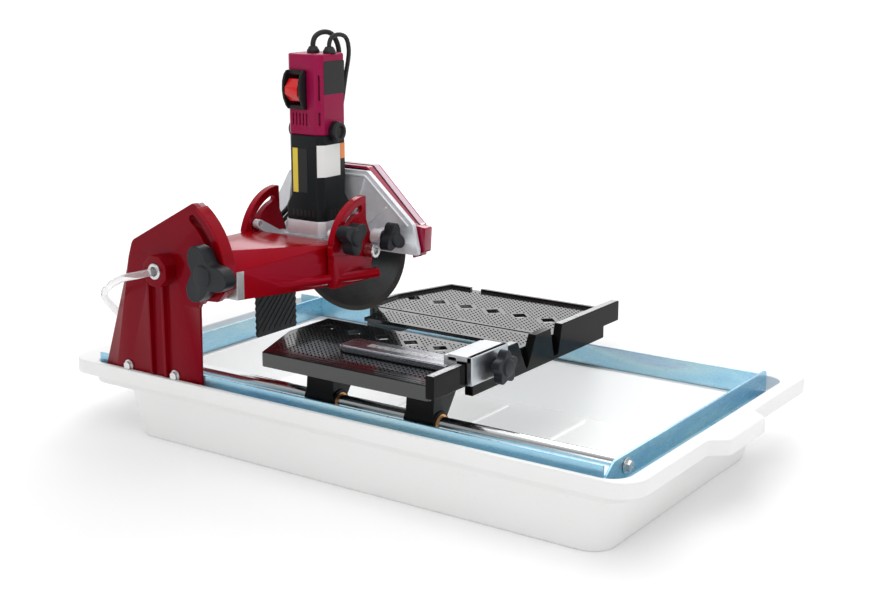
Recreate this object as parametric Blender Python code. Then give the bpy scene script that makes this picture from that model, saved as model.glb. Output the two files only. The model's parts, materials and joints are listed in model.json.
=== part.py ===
"""Wet tile saw: white basin, angle-iron frame, sliding table, red post with a
plunging arm, tilting head with upright motor, bevel gearbox, blade and guard.
Metres, +Z up, +X towards the operator, +Y towards the far side."""
import math
import bpy
import bmesh
from mathutils import Matrix, Vector

for _o in list(bpy.data.objects):
    bpy.data.objects.remove(_o, do_unlink=True)

SCENE = bpy.context.scene
COL = bpy.data.collections.new("wet_tile_saw")
SCENE.collection.children.link(COL)

# ------------------------------------------------------------------ driving dimensions
SX, SY = -0.00675, 0.01706      # shift of the whole layout so that it is centred on the origin
GAP = 0.0003
RIM_Z = 0.094                    # top of the basin rim
LEDGE_Z = 0.0735                 # ledge the frame stands on
RAIL_Z = 0.104                   # top edge of the angle irons
ROD_Y, ROD_Z, ROD_R = -0.187, 0.091, 0.0095
PX, PZ = -0.2505, 0.2402         # plunge pivot (axis along Y)
TY, TZ = -0.014, 0.244           # tilt pivot (axis along X)
MX, MY = -0.1765, -0.0215        # motor axis
BLX, BLZ, BLR = -0.1765, 0.2396, 0.1016
BLY0, BLY1 = 0.0400, 0.0420
TABLE_Z = 0.150
CORD_R, LEAD_R, HOSE_R = 0.0035, 0.0030, 0.0048

# ------------------------------------------------------------------ materials
MATS = {}


def mat(name, rgb, rough, metal):
    m = bpy.data.materials.new(name)
    m.use_nodes = True
    b = next(n for n in m.node_tree.nodes if n.type == "BSDF_PRINCIPLED")
    b.inputs["Base Color"].default_value = (*rgb, 1.0)
    b.inputs["Roughness"].default_value = rough
    b.inputs["Metallic"].default_value = metal
    m.diffuse_color = (*rgb, 1.0)
    MATS[name] = m


mat("white_plastic", (0.80, 0.80, 0.78), 0.38, 0.0)
mat("zinc_steel", (0.46, 0.50, 0.56), 0.34, 0.9)
mat("chrome_steel", (0.75, 0.76, 0.78), 0.12, 1.0)
mat("bolt_steel", (0.62, 0.62, 0.62), 0.30, 0.95)
mat("red_enamel", (0.42, 0.012, 0.03), 0.22, 0.0)
mat("magenta_plastic", (0.42, 0.01, 0.10), 0.35, 0.0)
mat("slate_plastic", (0.035, 0.040, 0.050), 0.45, 0.0)
mat("cast_alloy", (0.42, 0.43, 0.44), 0.45, 0.8)
mat("blade_steel", (0.20, 0.20, 0.22), 0.30, 0.9)
mat("black_enamel", (0.012, 0.012, 0.013), 0.16, 0.0)
mat("black_plastic", (0.02, 0.02, 0.02), 0.45, 0.0)
mat("black_rubber", (0.02, 0.02, 0.02), 0.75, 0.0)
mat("clear_vinyl", (0.62, 0.64, 0.62), 0.20, 0.0)
mat("bronze", (0.45, 0.28, 0.12), 0.35, 0.9)
mat("dark_steel", (0.10, 0.10, 0.11), 0.35, 0.85)
mat("copper_iron", (0.30, 0.16, 0.10), 0.45, 0.8)
mat("switch_red", (0.65, 0.02, 0.02), 0.35, 0.0)

# ------------------------------------------------------------------ modelling helpers
AX = {"Z": Matrix.Identity(4),
      "X": Matrix(((0, 0, 1, 0), (1, 0, 0, 0), (0, 1, 0, 0), (0, 0, 0, 1))),
      "Y": Matrix(((1, 0, 0, 0), (0, 0, -1, 0), (0, 1, 0, 0), (0, 0, 0, 1)))}


def wrap(bm):
    bmesh.ops.remove_doubles(bm, verts=bm.verts, dist=1e-6)
    bmesh.ops.recalc_face_normals(bm, faces=bm.faces)
    me = bpy.data.meshes.new("piece")
    bm.to_mesh(me)
    bm.free()
    ob = bpy.data.objects.new("piece", me)
    SCENE.collection.objects.link(ob)
    return ob


def bake(ob):
    dg = bpy.context.evaluated_depsgraph_get()
    me = bpy.data.meshes.new_from_object(ob.evaluated_get(dg))
    bm = bmesh.new()
    bm.from_mesh(me)
    bm.transform(ob.matrix_world)
    bpy.data.objects.remove(ob, do_unlink=True)
    return bm


def plate(loops, axis, a, b):
    """Flat outline(s) given in the plane across `axis`, solid from a to b along it."""
    cu = bpy.data.curves.new("outline", "CURVE")
    cu.dimensions = "2D"
    cu.fill_mode = "BOTH"
    cu.extrude = abs(b - a) / 2
    for pts in (loops if isinstance(loops[0][0], (tuple, list)) else [loops]):
        sp = cu.splines.new("POLY")
        sp.points.add(len(pts) - 1)
        for p, q in zip(sp.points, pts):
            p.co = (q[0], q[1], 0.0, 1.0)
        sp.use_cyclic_u = True
    ob = bpy.data.objects.new("outline", cu)
    SCENE.collection.objects.link(ob)
    bpy.context.view_layer.update()
    bm = bake(ob)
    mid = (a + b) / 2
    bm.transform(AX[axis] @ Matrix.Translation((0, 0, -mid if axis == "Y" else mid)))
    return wrap(bm)


def box(x0, x1, y0, y1, z0, z1, bevel=0.0):
    bm = bmesh.new()
    bmesh.ops.create_cube(bm, size=1.0, matrix=Matrix.Translation(
        ((x0 + x1) / 2, (y0 + y1) / 2, (z0 + z1) / 2)) @ Matrix.Diagonal((x1 - x0, y1 - y0, z1 - z0, 1)))
    if bevel:
        bmesh.ops.bevel(bm, geom=list(bm.edges), offset=bevel, segments=1, affect="EDGES")
    return wrap(bm)


def turned(profile, axis, origin, n=32, closed=False):
    """Revolve (radius, height) pairs about `axis` through origin."""
    bm = bmesh.new()
    vs = [bm.verts.new((r, 0, h)) for r, h in profile]
    es = [bm.edges.new((vs[i], vs[i + 1])) for i in range(len(vs) - 1)]
    if closed:
        es.append(bm.edges.new((vs[-1], vs[0])))
    bmesh.ops.spin(bm, geom=vs + es, axis=(0, 0, 1), cent=(0, 0, 0), dvec=(0, 0, 0),
                   angle=2 * math.pi, steps=n, use_merge=True)
    bmesh.ops.remove_doubles(bm, verts=bm.verts, dist=1e-6)
    m = {"Z": Matrix.Identity(4),
         "X": Matrix.Rotation(math.pi / 2, 4, "Y"),
         "Y": Matrix.Rotation(-math.pi / 2, 4, "X")}[axis]
    bm.transform(Matrix.Translation(origin) @ m)
    return wrap(bm)


def cyl(axis, c, r, a, b, n=24, bev=0.0):
    """Cylinder from a to b along axis; c gives the two other coordinates in x,y,z order."""
    o = {"X": (0, c[0], c[1]), "Y": (c[0], 0, c[1]), "Z": (c[0], c[1], 0)}[axis]
    if bev:
        pr = [(0, a), (r - bev, a), (r, a + bev), (r, b - bev), (r - bev, b), (0, b)]
    else:
        pr = [(0, a), (r, a), (r, b), (0, b)]
    return turned(pr, axis, o, n)


def ring(axis, c, ri, ro, a, b, n=28):
    o = {"X": (0, c[0], c[1]), "Y": (c[0], 0, c[1]), "Z": (c[0], c[1], 0)}[axis]
    return turned([(ri, a), (ro, a), (ro, b), (ri, b)], axis, o, n, closed=True)


def hull(pts):
    bm = bmesh.new()
    vs = [bm.verts.new(p) for p in pts]
    r = bmesh.ops.convex_hull(bm, input=vs)
    dead = [g for g in r["geom_interior"] + r["geom_unused"] if isinstance(g, bmesh.types.BMVert)]
    if dead:
        bmesh.ops.delete(bm, geom=list(set(dead)), context="VERTS")
    bmesh.ops.dissolve_limit(bm, angle_limit=0.005, verts=list(bm.verts), edges=list(bm.edges))
    return wrap(bm)


def boole(a, others, op):
    for b in others:
        m = a.modifiers.new("cut", "BOOLEAN")
        m.operation = op
        m.solver = "EXACT"
        m.object = b
        bpy.context.view_layer.update()
        bm = bake(a)
        bpy.data.objects.remove(b, do_unlink=True)
        a = wrap(bm)
    return a


def join(a, *others):
    return boole(a, others, "UNION")


def cut(a, *others):
    return boole(a, others, "DIFFERENCE")


def chamfer_all(ob, w, deg=50, seg=1):
    bm = bmesh.new()
    bm.from_mesh(ob.data)
    es = [e for e in bm.edges if len(e.link_faces) == 2 and e.calc_face_angle() > math.radians(deg)]
    bmesh.ops.bevel(bm, geom=es, offset=w, segments=seg, affect="EDGES", clamp_overlap=True)
    bpy.data.objects.remove(ob, do_unlink=True)
    return wrap(bm)


def arc(cx, cy, r, a0, a1, n):
    return [(cx + r * math.cos(math.radians(a0 + (a1 - a0) * i / n)),
             cy + r * math.sin(math.radians(a0 + (a1 - a0) * i / n))) for i in range(n + 1)]


def capsule(p, q, r, n=8):
    a = math.degrees(math.atan2(q[1] - p[1], q[0] - p[0]))
    return arc(p[0], p[1], r, a + 90, a + 270, n) + arc(q[0], q[1], r, a - 90, a + 90, n)


def slot_arc(cx, cy, r, w, a0, a1, n=14):
    """Curved slot of half-width w along an arc."""
    p0 = (cx + r * math.cos(math.radians(a0)), cy + r * math.sin(math.radians(a0)))
    p1 = (cx + r * math.cos(math.radians(a1)), cy + r * math.sin(math.radians(a1)))
    return (arc(cx, cy, r + w, a0, a1, n) + arc(p1[0], p1[1], w, a1, a1 + 180, 6)[1:-1]
            + arc(cx, cy, r - w, a1, a0, n) + arc(p0[0], p0[1], w, a0 + 180, a0 + 360, 6)[1:-1])


def rounded(pts, seg=4):
    """Polygon of (u, v) or (u, v, fillet radius)."""
    out = []
    k = len(pts)
    for i in range(k):
        p = pts[i]
        if len(p) < 3 or p[2] <= 0:
            out.append((p[0], p[1]))
            continue
        a, b, c = Vector(pts[i - 1][:2]), Vector(p[:2]), Vector(pts[(i + 1) % k][:2])
        u, v = (a - b).normalized(), (c - b).normalized()
        half = u.angle(v) / 2
        d = min(p[2] / math.tan(half), 0.48 * (a - b).length, 0.48 * (c - b).length)
        r = d * math.tan(half)
        cen = b + (u + v).normalized() * (r / math.sin(half))
        s, e = b + u * d - cen, b + v * d - cen
        sa, ea = math.atan2(s.y, s.x), math.atan2(e.y, e.x)
        da = (ea - sa + math.pi) % (2 * math.pi) - math.pi
        out += [(cen.x + r * math.cos(sa + da * j / seg), cen.y + r * math.sin(sa + da * j / seg))
                for j in range(seg + 1)]
    return out


def octagon(cx, cy, a, c):
    return [(cx + a, cy - a + c), (cx + a, cy + a - c), (cx + a - c, cy + a), (cx - a + c, cy + a),
            (cx - a, cy + a - c), (cx - a, cy - a + c), (cx - a + c, cy - a), (cx + a - c, cy - a)]


def lobed(cx, cy, r, lobes, a0, depth=0.17, n=36):
    return [(cx + r * (1 - depth + depth * math.cos(lobes * (t - math.radians(a0)))) * math.cos(t),
             cy + r * (1 - depth + depth * math.cos(lobes * (t - math.radians(a0)))) * math.sin(t))
            for t in (2 * math.pi * i / n for i in range(n))]


def smooth_path(pts, step):
    """Even points along a centripetal Catmull-Rom curve through pts."""
    P = [Vector(p) for p in pts]
    P = [P[0] * 2 - P[1]] + P + [P[-1] * 2 - P[-2]]
    dense = []
    for i in range(1, len(P) - 2):
        p0, p1, p2, p3 = P[i - 1:i + 3]
        t0 = 0.0
        t1 = t0 + (p1 - p0).length ** 0.5
        t2 = t1 + (p2 - p1).length ** 0.5
        t3 = t2 + (p3 - p2).length ** 0.5
        for j in range(24):
            t = t1 + (t2 - t1) * j / 24
            a1 = p0 * ((t1 - t) / (t1 - t0)) + p1 * ((t - t0) / (t1 - t0))
            a2 = p1 * ((t2 - t) / (t2 - t1)) + p2 * ((t - t1) / (t2 - t1))
            a3 = p2 * ((t3 - t) / (t3 - t2)) + p3 * ((t - t2) / (t3 - t2))
            b1 = a1 * ((t2 - t) / (t2 - t0)) + a2 * ((t - t0) / (t2 - t0))
            b2 = a2 * ((t3 - t) / (t3 - t1)) + a3 * ((t - t1) / (t3 - t1))
            dense.append(b1 * ((t2 - t) / (t2 - t1)) + b2 * ((t - t1) / (t2 - t1)))
    dense.append(P[-2])
    total = sum((dense[i + 1] - dense[i]).length for i in range(len(dense) - 1))
    n = max(2, round(total / step))
    out, want, run = [dense[0]], total / n, 0.0
    for i in range(len(dense) - 1):
        seg = (dense[i + 1] - dense[i]).length
        while run + seg >= want - 1e-9 and len(out) < n:
            f = (want - run) / seg
            out.append(dense[i].lerp(dense[i + 1], f))
            want += total / n
        run += seg
    out.append(dense[-1])
    return out


def tube(pts, r, res=2, step=None):
    cu = bpy.data.curves.new("cable", "CURVE")
    cu.dimensions = "3D"
    cu.fill_mode = "FULL"
    cu.bevel_depth = r
    cu.bevel_resolution = res
    cu.use_fill_caps = True
    path = smooth_path(pts, step or 4.5 * r)
    t0, t1 = (Vector(pts[1]) - Vector(pts[0])).normalized(), (Vector(pts[-2]) - Vector(pts[-1])).normalized()
    path = [path[0], path[0] + t0 * 0.002] + path[1:-1] + [path[-1] + t1 * 0.002, path[-1]]
    sp = cu.splines.new("POLY")
    sp.points.add(len(path) - 1)
    for p, q in zip(sp.points, path):
        p.co = (*q, 1.0)
    ob = bpy.data.objects.new("cable", cu)
    SCENE.collection.objects.link(ob)
    bpy.context.view_layer.update()
    return wrap(bake(ob))


def hexagon(c, r):
    return arc(c[0], c[1], r, 30, 330, 5)


# ------------------------------------------------------------------ bodies (joint frames)
BODY = {"root": (0, 0, 0), "arm": (PX, -0.2182, PZ), "head": (-0.1765, TY, TZ),
        "spindle": (BLX, 0.041, BLZ), "rotor": (MX, MY, 0.34), "table": (0.0, -0.187, 0.091),
        "roller_r": (-0.030, 0.1857, 0.1143), "roller_f": (0.120, 0.1857, 0.1143),
        "guide": (0.160, -0.13, 0.165), "guide_knob": (0.18, -0.118, 0.152),
        "plunge_knob": (-0.1636, -0.25, 0.2451), "tilt_knob": (-0.085, -0.067, 0.272),
        "guard_knob": (-0.070, -0.003, 0.262), "paddle": (-0.1835, -0.0500, 0.458)}
PARENT = {"arm": "root", "head": "arm", "spindle": "head", "rotor": "head", "table": "root",
          "roller_r": "table", "roller_f": "table", "guide": "table", "guide_knob": "guide",
          "plunge_knob": "arm", "tilt_knob": "head", "guard_knob": "head", "paddle": "head", "root": None}
EMPTY = {}
for _n in ("root", "arm", "head", "spindle", "rotor", "table", "roller_r", "roller_f", "guide",
           "guide_knob", "plunge_knob", "tilt_knob", "guard_knob", "paddle"):
    _e = bpy.data.objects.new("axis_" + _n, None)
    COL.objects.link(_e)
    _w = Vector(BODY[_n]) + Vector((SX, SY, 0))
    _p = PARENT[_n]
    if _p:
        _e.parent = EMPTY[_p]
        _e.location = Vector(BODY[_n]) - Vector(BODY[_p])
    else:
        _e.location = _w
    EMPTY[_n] = _e
bpy.context.view_layer.update()


def keep(name, ob, body, material, angle=35):
    """Name the finished solid and hang it on its body."""
    bm = bmesh.new()
    bm.from_mesh(ob.data)
    bmesh.ops.dissolve_degenerate(bm, dist=1e-6, edges=bm.edges)
    bmesh.ops.dissolve_limit(bm, angle_limit=0.002, verts=list(bm.verts), edges=list(bm.edges))
    bmesh.ops.triangulate(bm, faces=[f for f in bm.faces if len(f.verts) > 4])
    for f in bm.faces:
        f.smooth = True
    for e in bm.edges:
        if len(e.link_faces) == 2 and e.calc_face_angle() > math.radians(angle):
            e.smooth = False
    o = Vector(BODY[body])
    bm.transform(Matrix.Translation(-o))
    bm.to_mesh(ob.data)
    bm.free()
    SCENE.collection.objects.unlink(ob)
    COL.objects.link(ob)
    ob.name = name
    ob.data.name = name
    ob.parent = EMPTY[body]
    ob.data.materials.clear()
    ob.data.materials.append(MATS[material])
    return ob


# ------------------------------------------------------------------ basin
def rim_loop(x0, x1, y0, y1, z, r, bulge=0.0):
    pts = []
    for cx, cy, a in ((x1 - r, y0 + r, -90), (x1 - r, y1 - r, 0), (x0 + r, y1 - r, 90), (x0 + r, y0 + r, 180)):
        pts += arc(cx, cy, r, a, a + 90, 6)
        if a == -90:
            pts += [(x1, -0.071), (x1 + bulge * 0.12, -0.066), (x1 + bulge * 0.88, -0.052), (x1 + bulge, -0.047),
                    (x1 + bulge, 0.047), (x1 + bulge * 0.88, 0.052), (x1 + bulge * 0.12, 0.066), (x1, 0.071)]
    return [Vector((u, v, z)) for u, v in pts]


def loft(loops):
    bm = bmesh.new()
    rows = [[bm.verts.new(p) for p in lp] for lp in loops]
    n = len(rows[0])
    for a, b in zip(rows, rows[1:]):
        for i in range(n):
            j = (i + 1) % n
            bm.faces.new((a[i], a[j], b[j], b[i]))
    bm.faces.new(list(reversed(rows[0])))
    bm.faces.new(rows[-1])
    return wrap(bm)


B = 0.0215
tray = loft([
    rim_loop(-0.327, 0.387, -0.233, 0.165, 0.000, 0.028),
    rim_loop(-0.329, 0.389, -0.235, 0.167, 0.003, 0.030),
    rim_loop(-0.3400, 0.4000, -0.2450, 0.178, 0.0665, 0.032),
    rim_loop(-0.4035, 0.4155, -0.2462, 0.2185, 0.0665, 0.030),
    rim_loop(-0.4035, 0.4155, -0.2462, 0.2185, 0.0905, 0.030),
    rim_loop(-0.4370, 0.4290, -0.2477, 0.2560, 0.0905, 0.033, B),
    rim_loop(-0.4370, 0.4290, -0.2477, 0.2560, 0.0750, 0.033, B),
    rim_loop(-0.4400, 0.4320, -0.2507, 0.2590, 0.0750, 0.035, B),
    rim_loop(-0.4400, 0.4320, -0.2507, 0.2590, 0.0920, 0.035, B),
    rim_loop(-0.4382, 0.4302, -0.2489, 0.2572, 0.0940, 0.034, B),
    rim_loop(-0.4005, 0.4125, -0.2433, 0.2155, 0.0940, 0.026),
    rim_loop(-0.4000, 0.4120, -0.2430, 0.2150, 0.0930, 0.026),
    rim_loop(-0.4000, 0.4120, -0.2430, 0.2150, 0.0735, 0.026),
    rim_loop(-0.3365, 0.3965, -0.2400, 0.1745, 0.0735, 0.030),
    rim_loop(-0.3260, 0.3860, -0.2320, 0.1640, 0.0070, 0.027),
    rim_loop(-0.3220, 0.3820, -0.2280, 0.1600, 0.0040, 0.024)])
for i in range(5):
    xr = -0.225 + i * 0.125
    tray = join(tray, box(xr - 0.004, xr + 0.004, -0.215, 0.148, 0.002, 0.0065))
for xb in (-0.3267, -0.2412):
    tray = cut(tray, box(xb - 0.0100, xb + 0.0100, -0.2480, -0.2420, 0.0880, 0.100))
keep("water_tray", tray, "root", "white_plastic")

# ------------------------------------------------------------------ angle-iron frame
T = 0.003
Z0 = 0.074
near = plate([(-0.2343, Z0), (-0.2193, Z0), (-0.2193, Z0 + T), (-0.2313, Z0 + T), (-0.2313, RAIL_Z),
              (-0.2343, RAIL_Z)], "X", -0.392, 0.386)
near = cut(near, box(-0.350, -0.310, -0.2312, -0.218, 0.07, 0.08),
           cyl("Y", (-0.3267, 0.0985), 0.0035, -0.24, -0.225, 20),
           cyl("Y", (-0.2412, 0.0985), 0.0035, -0.24, -0.225, 20))
keep("near_rail", near, "root", "zinc_steel")
far = plate([(0.1873, RAIL_Z), (0.1843, RAIL_Z), (0.1843, Z0), (0.209, Z0), (0.209, Z0 + T),
             (0.1873, Z0 + T)], "X", -0.387, 0.386)
keep("far_rail", far, "root", "zinc_steel")
fc = plate(rounded([(-0.2390, Z0), (0.2063, Z0), (0.2063, RAIL_Z, 0.006), (-0.2140, RAIL_Z, 0.012),
                    (-0.2390, 0.088, 0.006)]), "X", 0.3863, 0.3893)
fc = join(fc, box(0.3880, 0.4085, -0.2275, 0.1995, Z0, Z0 + T))
fc = cut(fc, cyl("X", (ROD_Y, ROD_Z), 0.0035, 0.38, 0.40, 20))
keep("front_cross", fc, "root", "zinc_steel")
rc = plate([(-0.3456, RAIL_Z), (-0.3486, RAIL_Z), (-0.3486, Z0 + T), (-0.370, Z0 + T), (-0.370, Z0),
            (-0.3456, Z0)], "Y", -0.2030, 0.1840)
rc = cut(rc, cyl("X", (ROD_Y, ROD_Z), 0.0040, -0.36, -0.34, 20))
keep("rear_cross", rc, "root", "zinc_steel")
rod = turned([(0, -0.3453), (ROD_R - 0.0008, -0.3453), (ROD_R, -0.3445), (ROD_R, 0.3852), (ROD_R - 0.0008, 0.386),
              (0.0034, 0.386), (0.0034, 0.366), (0, 0.366)], "X", (0, ROD_Y, ROD_Z), 28)
keep("guide_rod", rod, "root", "chrome_steel")
rb = join(cyl("X", (ROD_Y, ROD_Z), 0.0095, 0.3896, 0.3912, 28),
          plate(hexagon((ROD_Y, ROD_Z), 0.0068), "X", 0.3910, 0.3962),
          cyl("X", (ROD_Y, ROD_Z), 0.0030, 0.368, 0.3920, 20))
keep("rod_bolt_front", rb, "root", "bolt_steel")

# ------------------------------------------------------------------ post
PF, PB = -0.2423, -0.2346
BASE_L, LT, PEAK = (-0.3814, 0.076), (-0.3098, 0.2711), (-0.1975, 0.3312)
outline = ([BASE_L + (0.003,), LT + (0.014,)] + [(PEAK[0], PEAK[1], 0.008)]
           + arc(PX, PZ, 0.105, 57, -9, 14)
           + [(-0.160, 0.2085, 0.004), (-0.190, 0.2065, 0.006), (-0.1965, 0.194, 0.006), (-0.199, 0.076, 0.002)])
post = plate(rounded(outline), "Y", PF, PB)
sect = ([(-0.3345, 0.1985), (-0.3080, 0.2695, 0.012), (-0.1978, 0.3300, 0.008)]
        + arc(PX, PZ, 0.1042, 57, -9, 14) + [(-0.161, 0.2098), (-0.191, 0.2078), (-0.198, 0.198)])
post = join(post, plate(rounded(sect), "Y", PB - 0.001, -0.2245))
post = join(post, plate(rounded([p + (0.004,) for p in arc(PX, PZ, 0.0215, 22.5, 337.5, 7)], 2), "Y", -0.262, PF + 0.001))
for xr in (-0.279, -0.2531):
    post = join(post, hull([(xr - 0.003, PF + 0.001, 0.0945), (xr + 0.003, PF + 0.001, 0.0945),
                            (xr - 0.003, PF + 0.001, 0.226), (xr + 0.003, PF + 0.001, 0.226),
                            (xr - 0.002, -0.2485, 0.0970), (xr + 0.002, -0.2485, 0.0970),
                            (xr - 0.002, -0.2485, 0.2265), (xr + 0.002, -0.2485, 0.2265)]))
# sloping edge bands at the left and right of the face
dx = (LT[0] - BASE_L[0]) / (LT[1] - BASE_L[1])
zb, zt = 0.070, 0.255
xl = lambda z: BASE_L[0] + dx * (z - BASE_L[1])
wl = lambda z: 0.027 * max(0.0, (0.255 - z)) / 0.179
post = cut(post, hull([(xl(zb) - 0.01, -0.25, zb), (xl(zb) + wl(zb), PF - 0.0001, zb), (xl(zb) + wl(zb), -0.25, zb),
                       (xl(zb) - 0.002, -0.2365, zb), (xl(zb) - 0.01, -0.2365, zb),
                       (xl(zt) - 0.012, -0.25, zt), (xl(zt) - 0.0006, PF - 0.0001, zt),
                       (xl(zt) - 0.0006, -0.25, zt), (xl(zt) - 0.004, -0.2400, zt),
                       (xl(zt) - 0.012, -0.2400, zt)]))
post = cut(post, plate([(-0.2207, -0.2440), (-0.1900, -0.2440), (-0.1900, -0.2375), (-0.1985, -0.2375),
                        (-0.2207, -0.2424)], "Z", 0.070, 0.196))
post = cut(post, plate(slot_arc(PX, PZ, 0.087, 0.0055, -2.5, 54), "Y", -0.25, -0.22),
           cyl("Y", (PX, PZ), 0.0110, -0.27, -0.22, 32),
           cyl("Y", (-0.3267, 0.0985), 0.0035, -0.25, -0.225, 20),
           cyl("Y", (-0.2412, 0.0985), 0.0035, -0.25, -0.225, 20))
keep("post", post, "root", "red_enamel")
for nm, xb in (("post_bolt_rear", -0.3267), ("post_bolt_front", -0.2412)):
    yb = -0.2426 if xb > -0.3 else -0.2426
    bolt = join(cyl("Y", (xb, 0.0985), 0.0078, -0.2438, yb, 24), plate(hexagon((xb, 0.0985), 0.0060), "Y", -0.2476, -0.2437),
                cyl("Y", (xb, 0.0985), 0.0030, yb - 0.001, -0.2306, 20))
    keep(nm, bolt, "root", "bolt_steel")

# ------------------------------------------------------------------ plunge arm
R0, R1 = -0.2235, -0.062
root_s = [(-0.235, 0.2095), (-0.232, 0.270), (-0.169, 0.270), (-0.1445, 0.246), (-0.145, 0.209)]
head_s = [(-0.262, 0.2035), (-0.2605, 0.2615), (-0.1235, 0.2615), (-0.110, 0.2585), (-0.1085, 0.203)]
arm = hull([(x, R0, z) for x, z in root_s] + [(x, R1, z) for x, z in head_s])
arm = join(arm, cyl("Y", (PX, PZ), 0.030, R0, -0.2130, 40), cyl("Y", (PX, PZ), 0.0185, -0.2140, -0.190, 32))
inner_r = [(-0.229, 0.190), (-0.227, 0.2635), (-0.1705, 0.2635), (-0.1505, 0.2435), (-0.1505, 0.190)]
inner_h = [(-0.2535, 0.190), (-0.2535, 0.2560), (-0.1260, 0.2560), (-0.1180, 0.2540), (-0.1170, 0.190)]
arm = cut(arm, hull([(x, -0.2125, z) for x, z in inner_r] + [(x, -0.0780, z) for x, z in inner_h]))


def fork_side(x0, x1):
    pts = [(-0.085, 0.203), (-0.012, 0.203, 0.008), (TY + 0.0145, TZ - 0.010)] + arc(TY, TZ, 0.0145, -10, 92, 8)[1:] \
        + [(-0.030, 0.2595), (-0.085, 0.2595)]
    return plate(rounded(pts), "X", x0, x1)


def ear(x0, x1):
    pts = ([(TY - 0.0145, TZ - 0.004)] + [(-0.088, 0.248), (-0.0880, 0.2585)] + arc(TY, TZ, 0.0742, 168, 91, 12)
           + [(-0.0145, 0.286), (-0.0025, 0.258), (TY + 0.012, TZ + 0.004)])
    return plate(rounded(pts), "X", x0, x1)


clear = cyl("X", (TY, TZ), 0.0525, -0.2528, -0.1102, 40)
arm = cut(arm, clear)
arm = join(arm, fork_side(-0.110, -0.100), fork_side(-0.262, -0.253), ear(-0.108, -0.0998), ear(-0.2622, -0.2532))
# rounded bead along the lower front edge and its shelf
bead0, bead1 = Vector((-0.1370, -0.1550, 0.2150)), Vector((-0.0840, -0.0120, 0.2145))
arm = join(arm, tube([bead0, bead0.lerp(bead1, 0.5), bead1], 0.0072, 3, 0.07))
arm = join(arm, hull([(-0.150, -0.155, 0.2060), (-0.150, -0.155, 0.2120), (-0.137, -0.155, 0.2085), (-0.137, -0.155, 0.2150),
                      (-0.106, -0.012, 0.2060), (-0.106, -0.012, 0.2120), (-0.084, -0.012, 0.2085),
                      (-0.084, -0.012, 0.2150)]))
arm = cut(arm, plate(slot_arc(TY, TZ, 0.0598, 0.0045, 103, 156), "X", -0.115, -0.095),
          plate(slot_arc(TY, TZ, 0.0598, 0.0045, 103, 156), "X", -0.270, -0.250),
          cyl("X", (TY, TZ), 0.0054, -0.115, -0.095, 24), cyl("X", (TY, TZ), 0.0054, -0.27, -0.25, 24),
          cyl("Y", (PX, PZ), 0.0108, -0.23, -0.18, 32),
          cyl("Y", (-0.1636, 0.2451), 0.0040, -0.226, -0.208, 20))
keep("tilt_arm", arm, "arm", "red_enamel")
keep("pivot_spindle", turned([(0.0062, -0.264), (0.0098, -0.264), (0.0105, -0.2633), (0.0105, -0.190),
                              (0.0062, -0.190)], "Y", (PX, 0, PZ), 32, True), "arm", "bolt_steel")
tb = join(cyl("X", (TY, TZ), 0.0095, -0.0995, -0.084, 28, 0.0008), cyl("X", (TY, TZ), 0.0050, -0.1300, -0.0990, 24))
tb = cut(tb, plate(hexagon((TY, TZ), 0.0048), "X", -0.089, -0.080))
keep("tilt_bolt_front", tb, "arm", "bolt_steel")
tb = join(cyl("X", (TY, TZ), 0.0095, -0.2720, -0.2625, 28, 0.0008), cyl("X", (TY, TZ), 0.0050, -0.2630, -0.2330, 24))
keep("tilt_bolt_rear", tb, "arm", "bolt_steel")
fb = join(box(-0.2860, -0.2625, -0.030, 0.000, 0.2060, 0.2080), box(-0.2888, -0.2858, -0.030, 0.060, 0.186, 0.2080),
          box(-0.2645, -0.2625, -0.030, -0.004, 0.2060, 0.222))
keep("flap_bracket", fb, "arm", "dark_steel")
FLX0, FLX1 = -0.2932, -0.2892
teeth = []
for i in range(12):
    z = 0.205 - i * 0.0092
    teeth += [(-0.0265, z), (-0.0285, z - 0.0046)]
teeth += [(-0.0265, 0.094), (0.0565, 0.094)]
for i in range(12):
    z = 0.094 + i * 0.0092
    teeth += [(0.0585, z + 0.0046), (0.0565, z + 0.0092)]
flap = plate(teeth, "X", FLX0, FLX1)
keep("splash_flap", flap, "arm", "black_rubber")
knob = join(plate(lobed(-0.1636, 0.2451, 0.040, 3, 115, 0.26, 48), "Y", -0.2660, -0.2470),
            cyl("Y", (-0.1636, 0.2451), 0.014, -0.2680, -0.2427, 24),
            cyl("Y", (-0.1636, 0.2451), 0.0036, -0.2440, -0.2120, 20))
keep("plunge_knob", knob, "plunge_knob", "black_plastic")

# ------------------------------------------------------------------ gearbox and motor
D = math.sqrt(0.5)
gc = plate(rounded([(-0.0455, 0.205, 0.002), (0.0130, 0.205, 0.004), (0.0130, 0.2627), (-0.0575, 0.2627),
                    (-0.0575, 0.217, 0.002)]), "X", -0.2105, -0.1425)
gc = join(gc, cyl("X", (TY, TZ), 0.0120, -0.2515, -0.1115, 24), cyl("Y", (BLX, BLZ), 0.0225, 0.010, 0.0177, 32))
for x0, x1 in ((-0.2515, -0.2430), (-0.1200, -0.1115)):
    gc = join(gc, plate(capsule((TY, TZ), (-0.067, 0.272), 0.0064), "X", x0, x1))
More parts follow.
